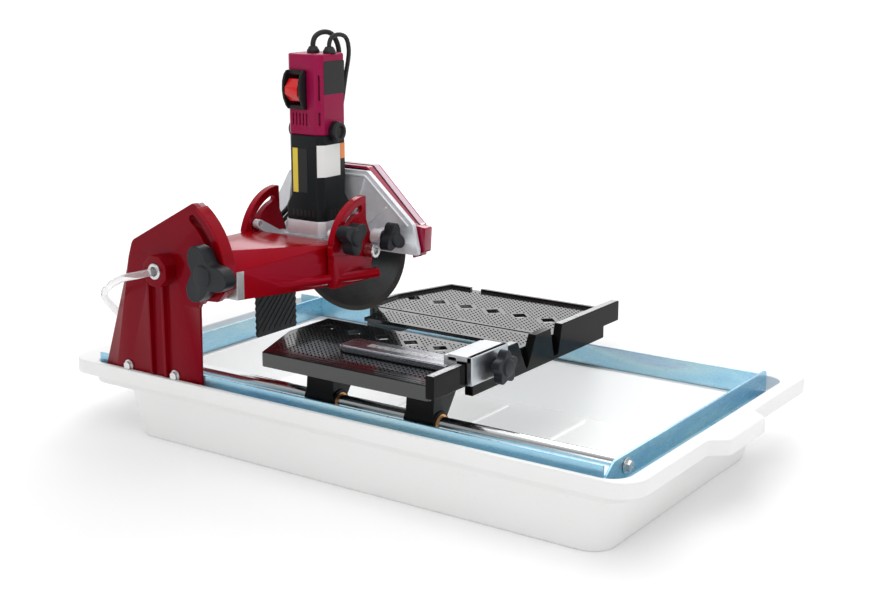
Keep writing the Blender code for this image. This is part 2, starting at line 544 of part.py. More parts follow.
# ribs between the trunnions and the case, plus the knob boss plate side
gc = join(gc, plate([(-0.2430, 0.238), (-0.2100, 0.225), (-0.2100, 0.256), (-0.2430, 0.250)], "Y", -0.022, -0.006),
          plate([(-0.1430, 0.225), (-0.1200, 0.238), (-0.1200, 0.250), (-0.1430, 0.256)], "Y", -0.022, -0.006))
gc = cut(gc, cyl("X", (TY, TZ), 0.0053, -0.26, -0.2320, 24), cyl("X", (TY, TZ), 0.0053, -0.1310, -0.105, 24),
         cyl("X", (-0.067, 0.272), 0.0038, -0.26, -0.235, 20), cyl("X", (-0.067, 0.272), 0.0038, -0.125, -0.105, 20))
gc = cut(gc, cyl("Y", (BLX, BLZ), 0.0090, -0.0400, 0.0200, 28), cyl("Z", (MX, MY), 0.0090, 0.2400, 0.2700, 28),
         cyl("Y", (BLX, BLZ), 0.0200, -0.0300, 0.0080, 28))
keep("gear_case", gc, "head", "cast_alloy")
gp = cut(plate(octagon(MX, MY, 0.0345, 0.008), "Z", 0.2630, 0.2827), cyl("Z", (MX, MY), 0.0080, 0.25, 0.29, 28),
         cyl("Z", (MX, MY), 0.0240, 0.2700, 0.29, 32))
keep("gear_plate", gp, "head", "cast_alloy")
ml = join(hull([(x, y, z) for x, y in octagon(MX, MY, 0.034, 0.0085) for z in (0.2830, 0.3017)]
               + [(x, y, 0.3150) for x, y in octagon(MX, MY, 0.030, 0.009)]),
          plate(octagon(MX, MY, 0.030, 0.009), "Z", 0.3140, 0.3977))
ml = cut(ml, cyl("Z", (MX, MY), 0.0240, 0.28, 0.41, 36))
keep("motor_lower", ml, "head", "slate_plastic")
mu = chamfer_all(plate(octagon(MX, MY, 0.030, 0.009), "Z", 0.3980, 0.5050), 0.0016, 60)
mu = cut(mu, cyl("Z", (MX, MY), 0.0240, 0.39, 0.4960, 36))
mu = cut(mu, box(-0.1950, -0.1720, -0.060, -0.0350, 0.4380, 0.4780))
for i in range(5):
    xc = -0.1925 + i * 0.0058
    mu = cut(mu, box(xc - 0.0011, xc + 0.0011, -0.060, -0.0350, 0.4110, 0.4270))
for z0, z1 in ((0.4116, 0.4285), (0.4447, 0.4777)):
    mu = cut(mu, plate([(-0.1510 + D * (a * 0.0013 + b), -0.0470 + D * (a * 0.0013 - b))
                        for a, b in ((1, 0.006), (-1, 0.006), (-1, -0.0055), (1, -0.0055))], "Z", z0, z1))
for gx, gy in ((-0.1795, -0.0230), (-0.1543, -0.0198)):
    mu = cut(mu, cyl("Z", (gx, gy), 0.0040, 0.490, 0.510, 20))
keep("motor_upper", mu, "head", "magenta_plastic")
sp = cut(box(-0.1990, -0.1680, -0.0545, -0.0518, 0.4320, 0.4840, 0.0008),
         box(-0.1948, -0.1722, -0.060, -0.045, 0.4382, 0.4778))
keep("switch_plate", sp, "head", "black_plastic")
pad = hull([(x, y, z) for x in (-0.1940, -0.1730) for y, z in
            ((-0.0480, 0.4460), (-0.0480, 0.4700), (-0.0570, 0.4430), (-0.0570, 0.4730),
             (-0.0665, 0.4530), (-0.0665, 0.4620))])
keep("switch_paddle", pad, "paddle", "switch_red")
for nm, a, b in (("brush_cap_near", MX + 0.0303, MX + 0.0400), ("brush_cap_far", MX - 0.0303, MX - 0.0400)):
    cap = turned([(0, a), (0.0135, a), (0.0137, a + (b - a) * 0.7), (0.0125, b), (0.0085, b), (0.0075, a + (b - a) * 0.75),
                  (0, a + (b - a) * 0.75)], "X", (0, MY, 0.4020), 28)
    keep(nm, cap, "head", "black_plastic")
for nm, gx, gy in (("cord_gland_power", -0.1795, -0.0230), ("cord_gland_pump", -0.1543, -0.0198)):
    keep(nm, turned([(0.0039, 0.5053), (0.0085, 0.5053), (0.0085, 0.5085), (0.0052, 0.5138), (0.0039, 0.5138)], "Z",
                    (gx, gy, 0), 20, True), "head", "black_rubber")
# guard
gi = [(-0.283, 0.250, 0.004), (-0.283, 0.300, 0.01), (-0.262, 0.335, 0.01), (-0.235, 0.345, 0.006),
      (-0.1225, 0.345, 0.006), (-0.047, 0.279, 0.004), (-0.039, 0.245, 0.002), (-0.0395, 0.2375), (-0.151, 0.2368, 0.004),
      (-0.151, 0.214, 0.006), (-0.202, 0.2135, 0.006), (-0.202, 0.2361, 0.004), (-0.270, 0.2355, 0.004)]
gin = plate(rounded(gi), "Y", 0.0182, 0.0260)
gin = cut(gin, cyl("Y", (BLX, BLZ), 0.0170, 0.010, 0.030, 36))
gin = join(gin, cyl("X", (-0.003, 0.262), 0.0105, -0.0952, -0.0790), box(-0.0950, -0.0792, -0.0030, 0.0190, 0.2530, 0.2710))
gin = cut(gin, cyl("X", (-0.003, 0.262), 0.0038, -0.0945, -0.070, 20))
gin = cut(gin, cyl("X", (-0.003, 0.262), 0.0232, -0.0786, -0.030, 36))
keep("guard_inner", gin, "head", "cast_alloy")


def guard_outline(d):
    return rounded([(-0.283 + d, 0.2322), (-0.283 + d, 0.305 - d * 0.4, 0.012), (-0.262 + d * 0.8, 0.338 - d * 0.7, 0.01),
                    (-0.236, 0.350 - d, 0.006), (-0.1288 - d * 0.4, 0.350 - d, 0.006),
                    (-0.0532 - d * 0.75, 0.278 - d * 0.5, 0.004), (-0.049 - d, 0.2754 - d * 0.4, 0.002),
                    (-0.049 - d, 0.2322)])


gcov = plate(guard_outline(0.0), "Y", 0.0263, 0.0540)
gcov = join(gcov, plate(rounded([(-0.052, 0.236), (-0.036, 0.240, 0.003), (-0.034, 0.274, 0.003), (-0.052, 0.276)]),
                        "Y", 0.0300, 0.0460))
gcov = cut(gcov, plate([(p[0], p[1] if p[1] > 0.24 else 0.220) for p in guard_outline(0.0030)], "Y", 0.0255, 0.0515))
keep("guard_cover", gcov, "head", "magenta_plastic")


def small_knob(cy, cz, r, x0, x1, tip, a0, stud):
    return join(plate(lobed(cy, cz, r, 3, a0, 0.24, 36), "X", x0 + 0.006, x1 - 0.002),
                cyl("X", (cy, cz), r * 0.45, x0, x1, 24), cyl("X", (cy, cz), stud, tip, x0 + 0.001, 20))


keep("tilt_knob", small_knob(-0.067, 0.272, 0.0245, -0.0985, -0.0725, -0.1190, 150, 0.0034), "tilt_knob",
     "black_plastic")
keep("guard_knob", small_knob(-0.003, 0.262, 0.0215, -0.0785, -0.0560, -0.0925, 90, 0.0034), "guard_knob",
     "black_plastic")
lb = join(cyl("X", (-0.067, 0.272), 0.0090, -0.2645, -0.2625, 24),
          plate(hexagon((-0.067, 0.272), 0.0072), "X", -0.2695, -0.2640),
          cyl("X", (-0.067, 0.272), 0.0034, -0.2635, -0.2440, 20))
keep("tilt_lock_bolt_rear", lb, "head", "bolt_steel")

# ------------------------------------------------------------------ blade spindle and armature
arb = turned([(0, -0.0240), (0.0055, -0.0240), (0.0055, -0.0004), (0.0080, -0.0004), (0.0080, 0.0268), (0.0150, 0.0268),
              (0.0190, 0.0390), (0.0190, 0.0397), (0.0079, 0.0397), (0.0079, 0.0440), (0.0045, 0.0440), (0.0045, 0.0512),
              (0, 0.0512)], "Y", (BLX, 0, BLZ), 24)
keep("arbor", arb, "spindle", "bolt_steel")
n_seg = 14
rimpts = []
for i in range(n_seg):
    a = 360 * i / n_seg
    rimpts += arc(BLX, BLZ, BLR, a + 1.6, a + 360 / n_seg - 1.6, 4)
    g = a + 360 / n_seg
    rimpts += arc(BLX, BLZ, BLR - 0.010, g - 0.8, g + 0.8, 1)
blade = plate([rimpts, arc(BLX, BLZ, 0.0082, 0, 350, 35)], "Y", BLY0, BLY1)
keep("blade", blade, "spindle", "blade_steel")
keep("blade_flange_outer", turned([(0.0082, 0.0423), (0.0185, 0.0423), (0.0150, 0.0455), (0.0082, 0.0455)], "Y",
                                  (BLX, 0, BLZ), 32, True), "spindle", "bolt_steel")
keep("arbor_nut", cut(plate(hexagon((BLX, BLZ), 0.0085), "Y", 0.0458, 0.0508),
                      cyl("Y", (BLX, BLZ), 0.0048, 0.040, 0.06, 24)), "spindle", "bolt_steel")
keep("bevel_gear", turned([(0.0058, -0.0156), (0.0120, -0.0156), (0.0170, -0.0080), (0.0170, -0.0045), (0.0058, -0.0045)],
                          "Y", (BLX, 0, BLZ), 28, True), "spindle", "bolt_steel")
arm_t = turned([(0, 0.2535), (0.0044, 0.2535), (0.0044, 0.2615), (0.0036, 0.2625), (0.0036, 0.2950), (0.0110, 0.2950),
                (0.0110, 0.3050), (0.0205, 0.3090), (0.0205, 0.3750), (0.0150, 0.3800), (0.0150, 0.3880), (0.0120, 0.3890),
                (0.0120, 0.4100), (0.0040, 0.4100), (0.0040, 0.4860), (0, 0.4860)], "Z", (MX, MY, 0), 20)
keep("armature", arm_t, "rotor", "copper_iron")

# ------------------------------------------------------------------ sliding table
tout = [(-0.101, -0.230, 0.004), (-0.140, -0.131, 0.004), (-0.140, 0.104, 0.004), (-0.110, 0.204, 0.004),
        (0.154, 0.204, 0.003), (0.154, -0.230, 0.003)]
tin = [(-0.0975, -0.2255, 0.003), (-0.1355, -0.1303, 0.003), (-0.1355, 0.1033, 0.003), (-0.1065, 0.1995, 0.003),
       (0.1495, 0.1995, 0.002), (0.1495, -0.2255, 0.002)]
top = plate(rounded(tout), "Z", 0.1450, TABLE_Z)
top = join(top, plate([rounded(tout), rounded(tin)], "Z", 0.1320, 0.1455))
top = join(top, plate([(-0.1398, 0.0520), (-0.1398, 0.1040), (-0.1098, 0.2038), (-0.0720, 0.2038), (-0.0720, 0.1988),
                       (-0.1061, 0.1988), (-0.1346, 0.1038), (-0.1346, 0.0520)], "Z", 0.1490, 0.1540),
           box(-0.0540, 0.1500, 0.1990, 0.2038, 0.1490, 0.1540))
for xb in (-0.0925, 0.1000):
    top = join(top, box(xb - 0.005, xb + 0.005, -0.100, 0.100, 0.1180, 0.1455))
for xr in (-0.030, 0.120):
    for y0, y1 in ((0.1725, 0.1780), (0.1935, 0.1990)):
        top = join(top, box(xr - 0.009, xr + 0.009, y0, y1, 0.1068, 0.1455))
top = cut(top, box(-0.160, 0.1317, 0.0386, 0.0434, 0.1265, 0.160),
          box(-0.160, 0.1300, -0.0500, -0.0180, 0.1265, 0.160))
# curved throat behind the middle strip: the blade swings through it when the head tilts
top = cut(top, plate([(-0.160, -0.0190), (-0.1025, -0.0190), (-0.1025, -0.0060), (-0.1040, 0.0050), (-0.1085, 0.0200),
                      (-0.1150, 0.0320), (-0.1230, 0.0395), (-0.160, 0.0395)], "Z", 0.1265, 0.160))
for xr in (-0.030, 0.120):
    top = cut(top, cyl("Y", (xr, 0.1143), 0.0034, 0.165, 0.205, 20))
for yh, xs in ((0.112, (-0.1125, -0.068, -0.022, 0.023, 0.067, 0.112)), (-0.087, (-0.111, -0.0655, -0.020, 0.026, 0.072))):
    for xh in xs:
        q = [(xh + D * (a * 0.0083 + b * 0.0103), yh + D * (a * 0.0083 - b * 0.0103)) for a, b in ((1, 1), (-1, 1), (-1, -1), (1, -1))]
        top = cut(top, plate(q, "Z", 0.142, 0.155))
keep("table_top", top, "table", "black_enamel")
for nm, x0, x1 in (("carrier_rear", -0.056, -0.010), ("carrier_front", 0.098, 0.142)):
    c = join(cyl("X", (ROD_Y, ROD_Z), 0.0155, x0, x1, 32),
             plate([(-0.2010, 0.0930), (-0.1730, 0.0930), (-0.1500, 0.1250), (-0.1500, 0.1447), (-0.1960, 0.1447)],
                   "X", x0 + 0.002, x1 - 0.002))
    c = cut(c, cyl("X", (ROD_Y, ROD_Z), 0.0124, x0 - 0.01, x1 + 0.01, 32))
    keep(nm, c, "table", "black_enamel")
    keep("bush" + nm[7:], ring("X", (ROD_Y, ROD_Z), 0.0098, 0.0121, x0 + 0.001, x1 + 0.0015, 32), "table", "bronze")
for nm, bd, xr in (("roller_rear", "roller_r", -0.030), ("roller_front", "roller_f", 0.120)):
    keep(nm, turned([(0, 0.1715), (0.0031, 0.1715), (0.0031, 0.1800), (0.0040, 0.1800), (0.0040, 0.1808),
                     (0.0094, 0.1808), (0.0100, 0.1814), (0.0100, 0.1899), (0.0094, 0.1905), (0.0040, 0.1905),
                     (0.0040, 0.1915), (0.0031, 0.1915), (0.0031, 0.2000), (0, 0.2000)], "Y", (xr, 0, 0.1143), 20),
         bd, "black_plastic")
FT, FBH, FBL = 0.165, 0.137, 0.121
fence = plate([(-0.2365, FT), (-0.2365, FBH), (-0.155, FBH), (-0.155, FBL), (0.171, FBL), (0.171, FBH), (0.213, FBH),
               (0.213, FT), (0.0555, FT), (0.0470, 0.1265), (0.0362, 0.1265), (0.0270, FT), (-0.0100, FT),
               (-0.0290, 0.1265), (-0.0322, 0.1265), (-0.0530, FT)], "X", 0.1543, 0.1660)
keep("fence", fence, "table", "dark_steel")
rg = box(-0.0250, 0.1400, -0.1740, -0.1330, 0.1503, 0.1600, 0.0010)
rg = join(rg, box(0.1340, 0.1537, -0.1700, -0.0900, 0.1503, 0.1720, 0.0008),
          box(0.1400, 0.1745, -0.1700, -0.0900, 0.1656, 0.1735, 0.0006),
          box(0.1665, 0.1748, -0.1700, -0.0900, 0.1380, 0.1735, 0.0006))
rg = cut(rg, cyl("X", (-0.118, 0.152), 0.0036, 0.160, 0.180, 20))
keep("rip_guide", rg, "guide", "cast_alloy")
gk = join(plate(lobed(-0.118, 0.152, 0.022, 5, 90, 0.14, 45), "X", 0.1810, 0.1930),
          cyl("X", (-0.118, 0.152), 0.0105, 0.1760, 0.1955, 28), cyl("X", (-0.118, 0.152), 0.0032, 0.1668, 0.1770, 20))
keep("guide_knob", gk, "guide_knob", "black_plastic")

# ------------------------------------------------------------------ water pump, hose, leads and clips
pump = join(box(-0.284, -0.226, -0.2255, -0.175, 0.0068, 0.0560, 0.0030),
            cyl("X", (-0.2085, 0.0300), 0.0060, -0.2954, -0.2830, 24))
keep("water_pump", pump, "root", "black_plastic")
HOSE = [(PX, -0.2520, PZ), (PX, -0.2620, PZ), (-0.2525, -0.2740, 0.2399), (-0.2600, -0.2840, 0.2378),
        (-0.2768, -0.2887, 0.2335), (-0.3073, -0.2830, 0.2203), (-0.3388, -0.2680, 0.2024), (-0.3552, -0.2500, 0.1857),
        (-0.3605, -0.2360, 0.1735), (-0.3580, -0.2240, 0.1580), (-0.3500, -0.2150, 0.1380), (-0.3420, -0.2115, 0.1180),
        (-0.3345, -0.2110, 0.0960), (-0.3300, -0.2100, 0.0740), (-0.3260, -0.2090, 0.0540), (-0.3170, -0.2085, 0.0380),
        (-0.3065, -0.2085, 0.0303), (-0.2960, -0.2085, 0.0300)]
keep("water_hose", tube(HOSE, HOSE_R, 3, 0.012), "root", "clear_vinyl")

G_P, G_B = (-0.1795, -0.0230), (-0.1543, -0.0198)
POWER_HEAD = [(G_P[0], G_P[1], 0.4990), (G_P[0], G_P[1], 0.5090), (G_P[0], G_P[1], 0.5180), (-0.1787, -0.0190, 0.5262), (-0.1755, -0.0085, 0.5315),
              (-0.1715, 0.0060, 0.5290), (-0.1680, 0.0155, 0.5130), (-0.1690, 0.0175, 0.4850), (-0.1780, 0.0165, 0.4400),
              (-0.1950, 0.0155, 0.3900), (-0.2150, 0.0140, 0.3450), (-0.2360, 0.0110, 0.3080), (-0.2580, 0.0080, 0.2820),
              (-0.2740, 0.0020, 0.2640), (-0.2805, -0.0120, 0.2500), (-0.2785, -0.0270, 0.2405), (-0.2755, -0.0385, 0.2370), (-0.2755, -0.0440, 0.2370)]
PUMP_HEAD = [(G_B[0], G_B[1], 0.4990), (G_B[0], G_B[1], 0.5090), (G_B[0], G_B[1], 0.5180), (-0.1538, -0.0155, 0.5255), (-0.1515, -0.0040, 0.5290),
             (-0.1500, 0.0095, 0.5250), (-0.1510, 0.0175, 0.5080), (-0.1580, 0.0180, 0.4700), (-0.1690, 0.0165, 0.4150),
             (-0.1880, 0.0145, 0.3640), (-0.2110, 0.0110, 0.3190), (-0.2350, 0.0080, 0.2900), (-0.2600, 0.0055, 0.2680),
             (-0.2755, -0.0030, 0.2490), (-0.2795, -0.0160, 0.2365), (-0.2775, -0.0285, 0.2285), (-0.2755, -0.0385, 0.2255), (-0.2755, -0.0440, 0.2255)]
POWER_ARM = [(-0.2755, -0.0443, 0.2370), (-0.2755, -0.0500, 0.2370), (-0.2740, -0.0900, 0.2352), (-0.2730, -0.1400, 0.2350),
             (-0.2790, -0.1800, 0.2352), (-0.2890, -0.2010, 0.2345), (-0.2985, -0.2130, 0.2290), (-0.3025, -0.2180, 0.2200),
             (-0.3025, -0.2180, 0.2140)]
PUMP_ARM = [(-0.2755, -0.0443, 0.2255), (-0.2755, -0.0500, 0.2255), (-0.2710, -0.0900, 0.2240), (-0.2690, -0.1400, 0.2235),
            (-0.2730, -0.1800, 0.2245), (-0.2800, -0.2010, 0.2255), (-0.2870, -0.2130, 0.2240), (-0.2900, -0.2180, 0.2190),
            (-0.2900, -0.2180, 0.2140)]
POWER_ROOT = [(-0.3025, -0.2180, 0.2137), (-0.3027, -0.2180, 0.2070), (-0.3080, -0.2178, 0.1990), (-0.3200, -0.2160, 0.1910),
              (-0.3400, -0.2070, 0.1790), (-0.3600, -0.1940, 0.1600), (-0.3760, -0.1790, 0.1400), (-0.3900, -0.1640, 0.1230),
              (-0.4080, -0.1450, 0.1110), (-0.4320, -0.1220, 0.1025), (-0.4485, -0.1060, 0.0920), (-0.4590, -0.0950, 0.0650),
              (-0.4665, -0.0880, 0.0330), (-0.4770, -0.0750, 0.0120), (-0.4930, -0.0560, 0.0046), (-0.5110, -0.0330, 0.0040),
              (-0.5280, -0.0110, 0.0040)]
PUMP_ROOT = [(-0.2900, -0.2180, 0.2137), (-0.2901, -0.2180, 0.2060), (-0.2960, -0.2195, 0.1930), (-0.3100, -0.2258, 0.1780),
             (-0.3270, -0.2280, 0.1650), (-0.3345, -0.2280, 0.1500), (-0.3345, -0.2276, 0.1330), (-0.3290, -0.2268, 0.1050),
             (-0.3238, -0.2262, 0.0780), (-0.3205, -0.2245, 0.0560), (-0.3155, -0.2215, 0.0300), (-0.3085, -0.2140, 0.0140),
             (-0.3010, -0.2040, 0.0115), (-0.2940, -0.1990, 0.0125), (-0.2847, -0.1990, 0.0125)]
for nm, path, r, body in (("power_cord_head", POWER_HEAD, CORD_R, "head"), ("pump_lead_head", PUMP_HEAD, LEAD_R, "head"),
                          ("power_cord_arm", POWER_ARM, CORD_R, "arm"), ("pump_lead_arm", PUMP_ARM, LEAD_R, "arm"),
                          ("power_cord", POWER_ROOT, CORD_R, "root"), ("pump_lead", PUMP_ROOT, LEAD_R, "root")):
    keep(nm, tube(path, r, 2, 0.013), body, "black_rubber")
# clips: saddle blocks with an eye for each lead
cl = box(-0.2818, -0.2628, -0.0620, -0.0520, 0.2185, 0.2440, 0.0008)
cl = cut(cl, tube(POWER_ARM, CORD_R + 0.0004, 2, 0.013), tube(PUMP_ARM, LEAD_R + 0.0004, 2, 0.013))
keep("arm_cord_clip", cl, "arm", "black_plastic")
cl = box(-0.3130, -0.2835, -0.2242, -0.2105, 0.2025, 0.2100, 0.0008)
cl = cut(cl, tube(POWER_ROOT, CORD_R + 0.0004, 2, 0.013), tube(PUMP_ROOT, LEAD_R + 0.0004, 2, 0.013))
keep("post_cord_clip", cl, "root", "black_plastic")
COIL = (-0.5300, 0.0450)
keep("power_cord_coil", turned(arc(0.0390, 0.0128, 0.0125, 0, 330, 11), "Z", (COIL[0], COIL[1], 0), 28, True), "root",
     "black_rubber")
plug = join(box(-0.6110, -0.5890, 0.0330, 0.0570, 0.0010, 0.0200, 0.0030),
            box(-0.5900, -0.5825, 0.0400, 0.0500, 0.0060, 0.0150, 0.0010),
            box(-0.6280, -0.6100, 0.0370, 0.0385, 0.0080, 0.0140), box(-0.6280, -0.6100, 0.0510, 0.0525, 0.0080, 0.0140))
keep("power_plug", plug, "root", "black_rubber")
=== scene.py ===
"""Wet tile saw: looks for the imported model."""
import json
import math
import random

import bmesh
import bpy
from mathutils import Matrix, Vector

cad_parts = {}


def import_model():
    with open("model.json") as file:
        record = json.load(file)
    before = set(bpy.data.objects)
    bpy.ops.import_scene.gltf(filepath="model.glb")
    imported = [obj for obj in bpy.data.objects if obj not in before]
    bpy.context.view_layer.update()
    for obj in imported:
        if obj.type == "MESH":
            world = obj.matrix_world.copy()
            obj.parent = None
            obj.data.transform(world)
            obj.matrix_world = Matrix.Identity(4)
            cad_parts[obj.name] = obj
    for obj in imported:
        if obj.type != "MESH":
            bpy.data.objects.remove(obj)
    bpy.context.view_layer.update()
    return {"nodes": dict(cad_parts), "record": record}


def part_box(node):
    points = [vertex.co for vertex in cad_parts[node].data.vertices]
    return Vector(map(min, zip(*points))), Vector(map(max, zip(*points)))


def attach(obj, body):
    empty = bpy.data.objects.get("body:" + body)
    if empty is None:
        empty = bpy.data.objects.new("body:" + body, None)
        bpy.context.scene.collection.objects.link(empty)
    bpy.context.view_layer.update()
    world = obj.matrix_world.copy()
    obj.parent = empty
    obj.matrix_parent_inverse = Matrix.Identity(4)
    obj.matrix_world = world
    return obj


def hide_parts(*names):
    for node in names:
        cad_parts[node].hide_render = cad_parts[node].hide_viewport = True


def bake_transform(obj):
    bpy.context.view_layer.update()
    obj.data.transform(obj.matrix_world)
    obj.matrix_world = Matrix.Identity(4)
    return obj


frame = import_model()
random.seed(7)
SX, SY = -0.00675, 0.01706            # layout shift used by the model
SH = Vector((SX, SY, 0))
BODY_OF = {n: b for b, ns in frame["record"]["behaviour"]["bodies"].items() for n in ns}
SCN = bpy.context.scene
SCN.view_settings.view_transform = "Standard"
SCN.view_settings.look = "None"
SCN.view_settings.exposure = 0.0
SCN.view_settings.gamma = 1.0

# ------------------------------------------------------------------ camera
cam_d = bpy.data.cameras.new("camera")
cam_d.lens = 59.66
cam_d.sensor_width = 36.0
cam_d.clip_start = 0.02
cam = bpy.data.objects.new("camera", cam_d)
SCN.collection.objects.link(cam)
cam.location = Vector((1.0735, -1.5317, 0.6440)) + SH
cam.rotation_euler = (math.radians(90 - 13.78), 0.0, math.radians(34.91))
SCN.camera = cam


# ------------------------------------------------------------------ node helpers
class M:
    edge = 0.0009

    def __init__(self, name):
        self.m = bpy.data.materials.new(name)
        self.m.use_nodes = True
        self.t = self.m.node_tree
        self.t.nodes.clear()
        self.out = self.t.nodes.new("ShaderNodeOutputMaterial")
        self.b = self.t.nodes.new("ShaderNodeBsdfPrincipled")
        self.t.links.new(self.b.outputs[0], self.out.inputs[0])
        tc = self.t.nodes.new("ShaderNodeTexCoord")
        self.co = tc.outputs["Object"]

    def put(self, sock, v):
        if hasattr(v, "is_linked") or isinstance(v, bpy.types.NodeSocket):
            self.t.links.new(v, sock)
        elif isinstance(v, (tuple, list)) and len(v) == 3 and sock.type == "RGBA":
            sock.default_value = (*v, 1.0)
        else:
            sock.default_value = v

    def set(self, **kw):
        names = {"color": "Base Color", "rough": "Roughness", "metal": "Metallic", "coat": "Coat Weight",
                 "coat_rough": "Coat Roughness", "spec": "Specular IOR Level", "trans": "Transmission Weight",
                 "ior": "IOR", "normal": "Normal", "sss": "Subsurface Weight", "aniso": "Anisotropic",
                 "sheen": "Sheen Weight", "tint": "Specular Tint", "coat_normal": "Coat Normal", "alpha": "Alpha"}
        for k, v in kw.items():
            self.put(self.b.inputs[names[k]], v)
        return self

    def mapped(self, scale=(1, 1, 1), rot=(0, 0, 0), loc=(0, 0, 0), vec=None):
        n = self.t.nodes.new("ShaderNodeMapping")
        self.t.links.new(vec or self.co, n.inputs["Vector"])
        n.inputs["Scale"].default_value = scale
        n.inputs["Rotation"].default_value = rot
        n.inputs["Location"].default_value = loc
        return n.outputs[0]

    def noise(self, scale, detail=3.0, rough=0.5, vec=None, dist=0.0):
        n = self.t.nodes.new("ShaderNodeTexNoise")
        self.t.links.new(vec or self.co, n.inputs["Vector"])
        n.inputs["Scale"].default_value = scale
        n.inputs["Detail"].default_value = detail
        n.inputs["Roughness"].default_value = rough
        n.inputs["Distortion"].default_value = dist
        return n.outputs[0]

    def voronoi(self, scale, vec=None, feature="F1"):
        n = self.t.nodes.new("ShaderNodeTexVoronoi")
        n.feature = feature
        self.t.links.new(vec or self.co, n.inputs["Vector"])
        n.inputs["Scale"].default_value = scale
        return n.outputs[0], (n.outputs[1] if len(n.outputs) > 1 else None)

    def ramp(self, fac, *stops):
        n = self.t.nodes.new("ShaderNodeValToRGB")
        self.t.links.new(fac, n.inputs[0])
        while len(n.color_ramp.elements) < len(stops):
            n.color_ramp.elements.new(0.5)
        for e, (p, c) in zip(n.color_ramp.elements, stops):
            e.position = p
            e.color = (*c, 1.0) if isinstance(c, (tuple, list)) else (c, c, c, 1.0)
        return n.outputs[0]

    def math(self, op, a, b=0.0, c=None, clamp=False):
        n = self.t.nodes.new("ShaderNodeMath")
        n.operation = op
        n.use_clamp = clamp
        self.put(n.inputs[0], a)
        self.put(n.inputs[1], b)
        if c is not None:
            self.put(n.inputs[2], c)
        return n.outputs[0]

    def rng(self, v, lo, hi):
        n = self.t.nodes.new("ShaderNodeMapRange")
        self.t.links.new(v, n.inputs[0])
        n.inputs[3].default_value = lo
        n.inputs[4].default_value = hi
        return n.outputs[0]

    def mix(self, fac, a, b):
        n = self.t.nodes.new("ShaderNodeMix")
        n.data_type = "RGBA"
        self.put(n.inputs[0], fac)
        self.put(n.inputs[6], a)
        self.put(n.inputs[7], b)
        return n.outputs[2]

    def bump(self, h, strength=0.3, dist=0.0005, normal=None):
        n = self.t.nodes.new("ShaderNodeBump")
        n.inputs["Strength"].default_value = strength
        n.inputs["Distance"].default_value = dist
        self.t.links.new(h, n.inputs["Height"])
        if normal is None:
            e = self.t.nodes.new("ShaderNodeBevel")
            e.samples = 6
            e.inputs["Radius"].default_value = self.edge
            normal = e.outputs[0]
        self.t.links.new(normal, n.inputs["Normal"])
        return n.outputs[0]

    def xyz(self, vec=None):
        n = self.t.nodes.new("ShaderNodeSeparateXYZ")
        self.t.links.new(vec or self.co, n.inputs[0])
        return n.outputs


def mul(c, k):
    return tuple(min(1.0, x * k) for x in c)


def enamel(name, c, rough=0.20, peel=0.10, coat=0.8, var=0.82, spec=0.5):
    m = M(name)
    col = m.mix(m.noise(9.0, 3.0), mul(c, var), mul(c, 1.10))
    speck = m.ramp(m.noise(900.0, 1.0), (0.30, 0.0), (0.36, 1.0))
    col = m.mix(speck, mul(c, 0.6), col)
    h = m.noise(420.0, 2.0)
    h2 = m.noise(60.0, 2.0)
    n = m.bump(h, peel, 0.00012, m.bump(h2, peel, 0.0006))
    m.set(color=col, rough=m.rng(m.noise(35.0), rough - 0.05, rough + 0.07), coat=coat, coat_rough=0.05, spec=spec,
          normal=n)
    return m.m


def plastic(name, c, rough=0.42, grain=0.25, scale=1100.0, var=0.85, spec=0.45, coat=0.0):
    m = M(name)
    col = m.mix(m.noise(14.0, 4.0), mul(c, var), mul(c, 1.12))
    fine = m.noise(scale, 2.0, 0.6)
    n = m.bump(fine, grain, 0.00015, m.bump(m.noise(45.0, 2.0), 0.05, 0.0008))
    m.set(color=col, rough=m.rng(m.noise(160.0, 3.0), rough - 0.06, rough + 0.08), spec=spec, normal=n, coat=coat,
          coat_rough=0.15)
    return m.m


def metal(name, c, rough=0.28, stretch=(1, 1, 1), scale=500.0, strength=0.15, var=0.85, tint=None):
    m = M(name)
    v = m.mapped(stretch)
    br = m.noise(scale, 3.0, 0.6, v)
    col = m.mix(m.noise(22.0, 4.0), mul(c, var), mul(c, 1.08))
    if tint:
        col = m.mix(m.ramp(m.noise(7.0, 3.0, 0.6, None, 0.6), (0.42, 0.0), (0.62, 0.8)), col, tint)
    m.set(color=col, metal=1.0, rough=m.rng(br, rough - 0.08, rough + 0.12), normal=m.bump(br, strength, 0.00008))
    return m.m


def cast(name, c, rough=0.45, var=0.7, metallic=0.85):
    m = M(name)
    col = m.mix(m.noise(60.0, 5.0, 0.6), mul(c, var), mul(c, 1.15))
    d, _ = m.voronoi(330.0)
    pits = m.ramp(d, (0.0, 0.0), (0.22, 1.0))
    col = m.mix(m.ramp(m.noise(18.0, 4.0), (0.35, 0.0), (0.7, 0.5)), col, mul(c, 0.75))
    n = m.bump(m.noise(650.0, 4.0, 0.65), 0.35, 0.0003, m.bump(pits, 0.12, 0.0003, m.bump(m.noise(90.0), 0.15, 0.0008)))
    m.set(color=col, metal=metallic, rough=m.rng(m.noise(240.0, 3.0), rough - 0.10, rough + 0.12), normal=n)
    return m.m


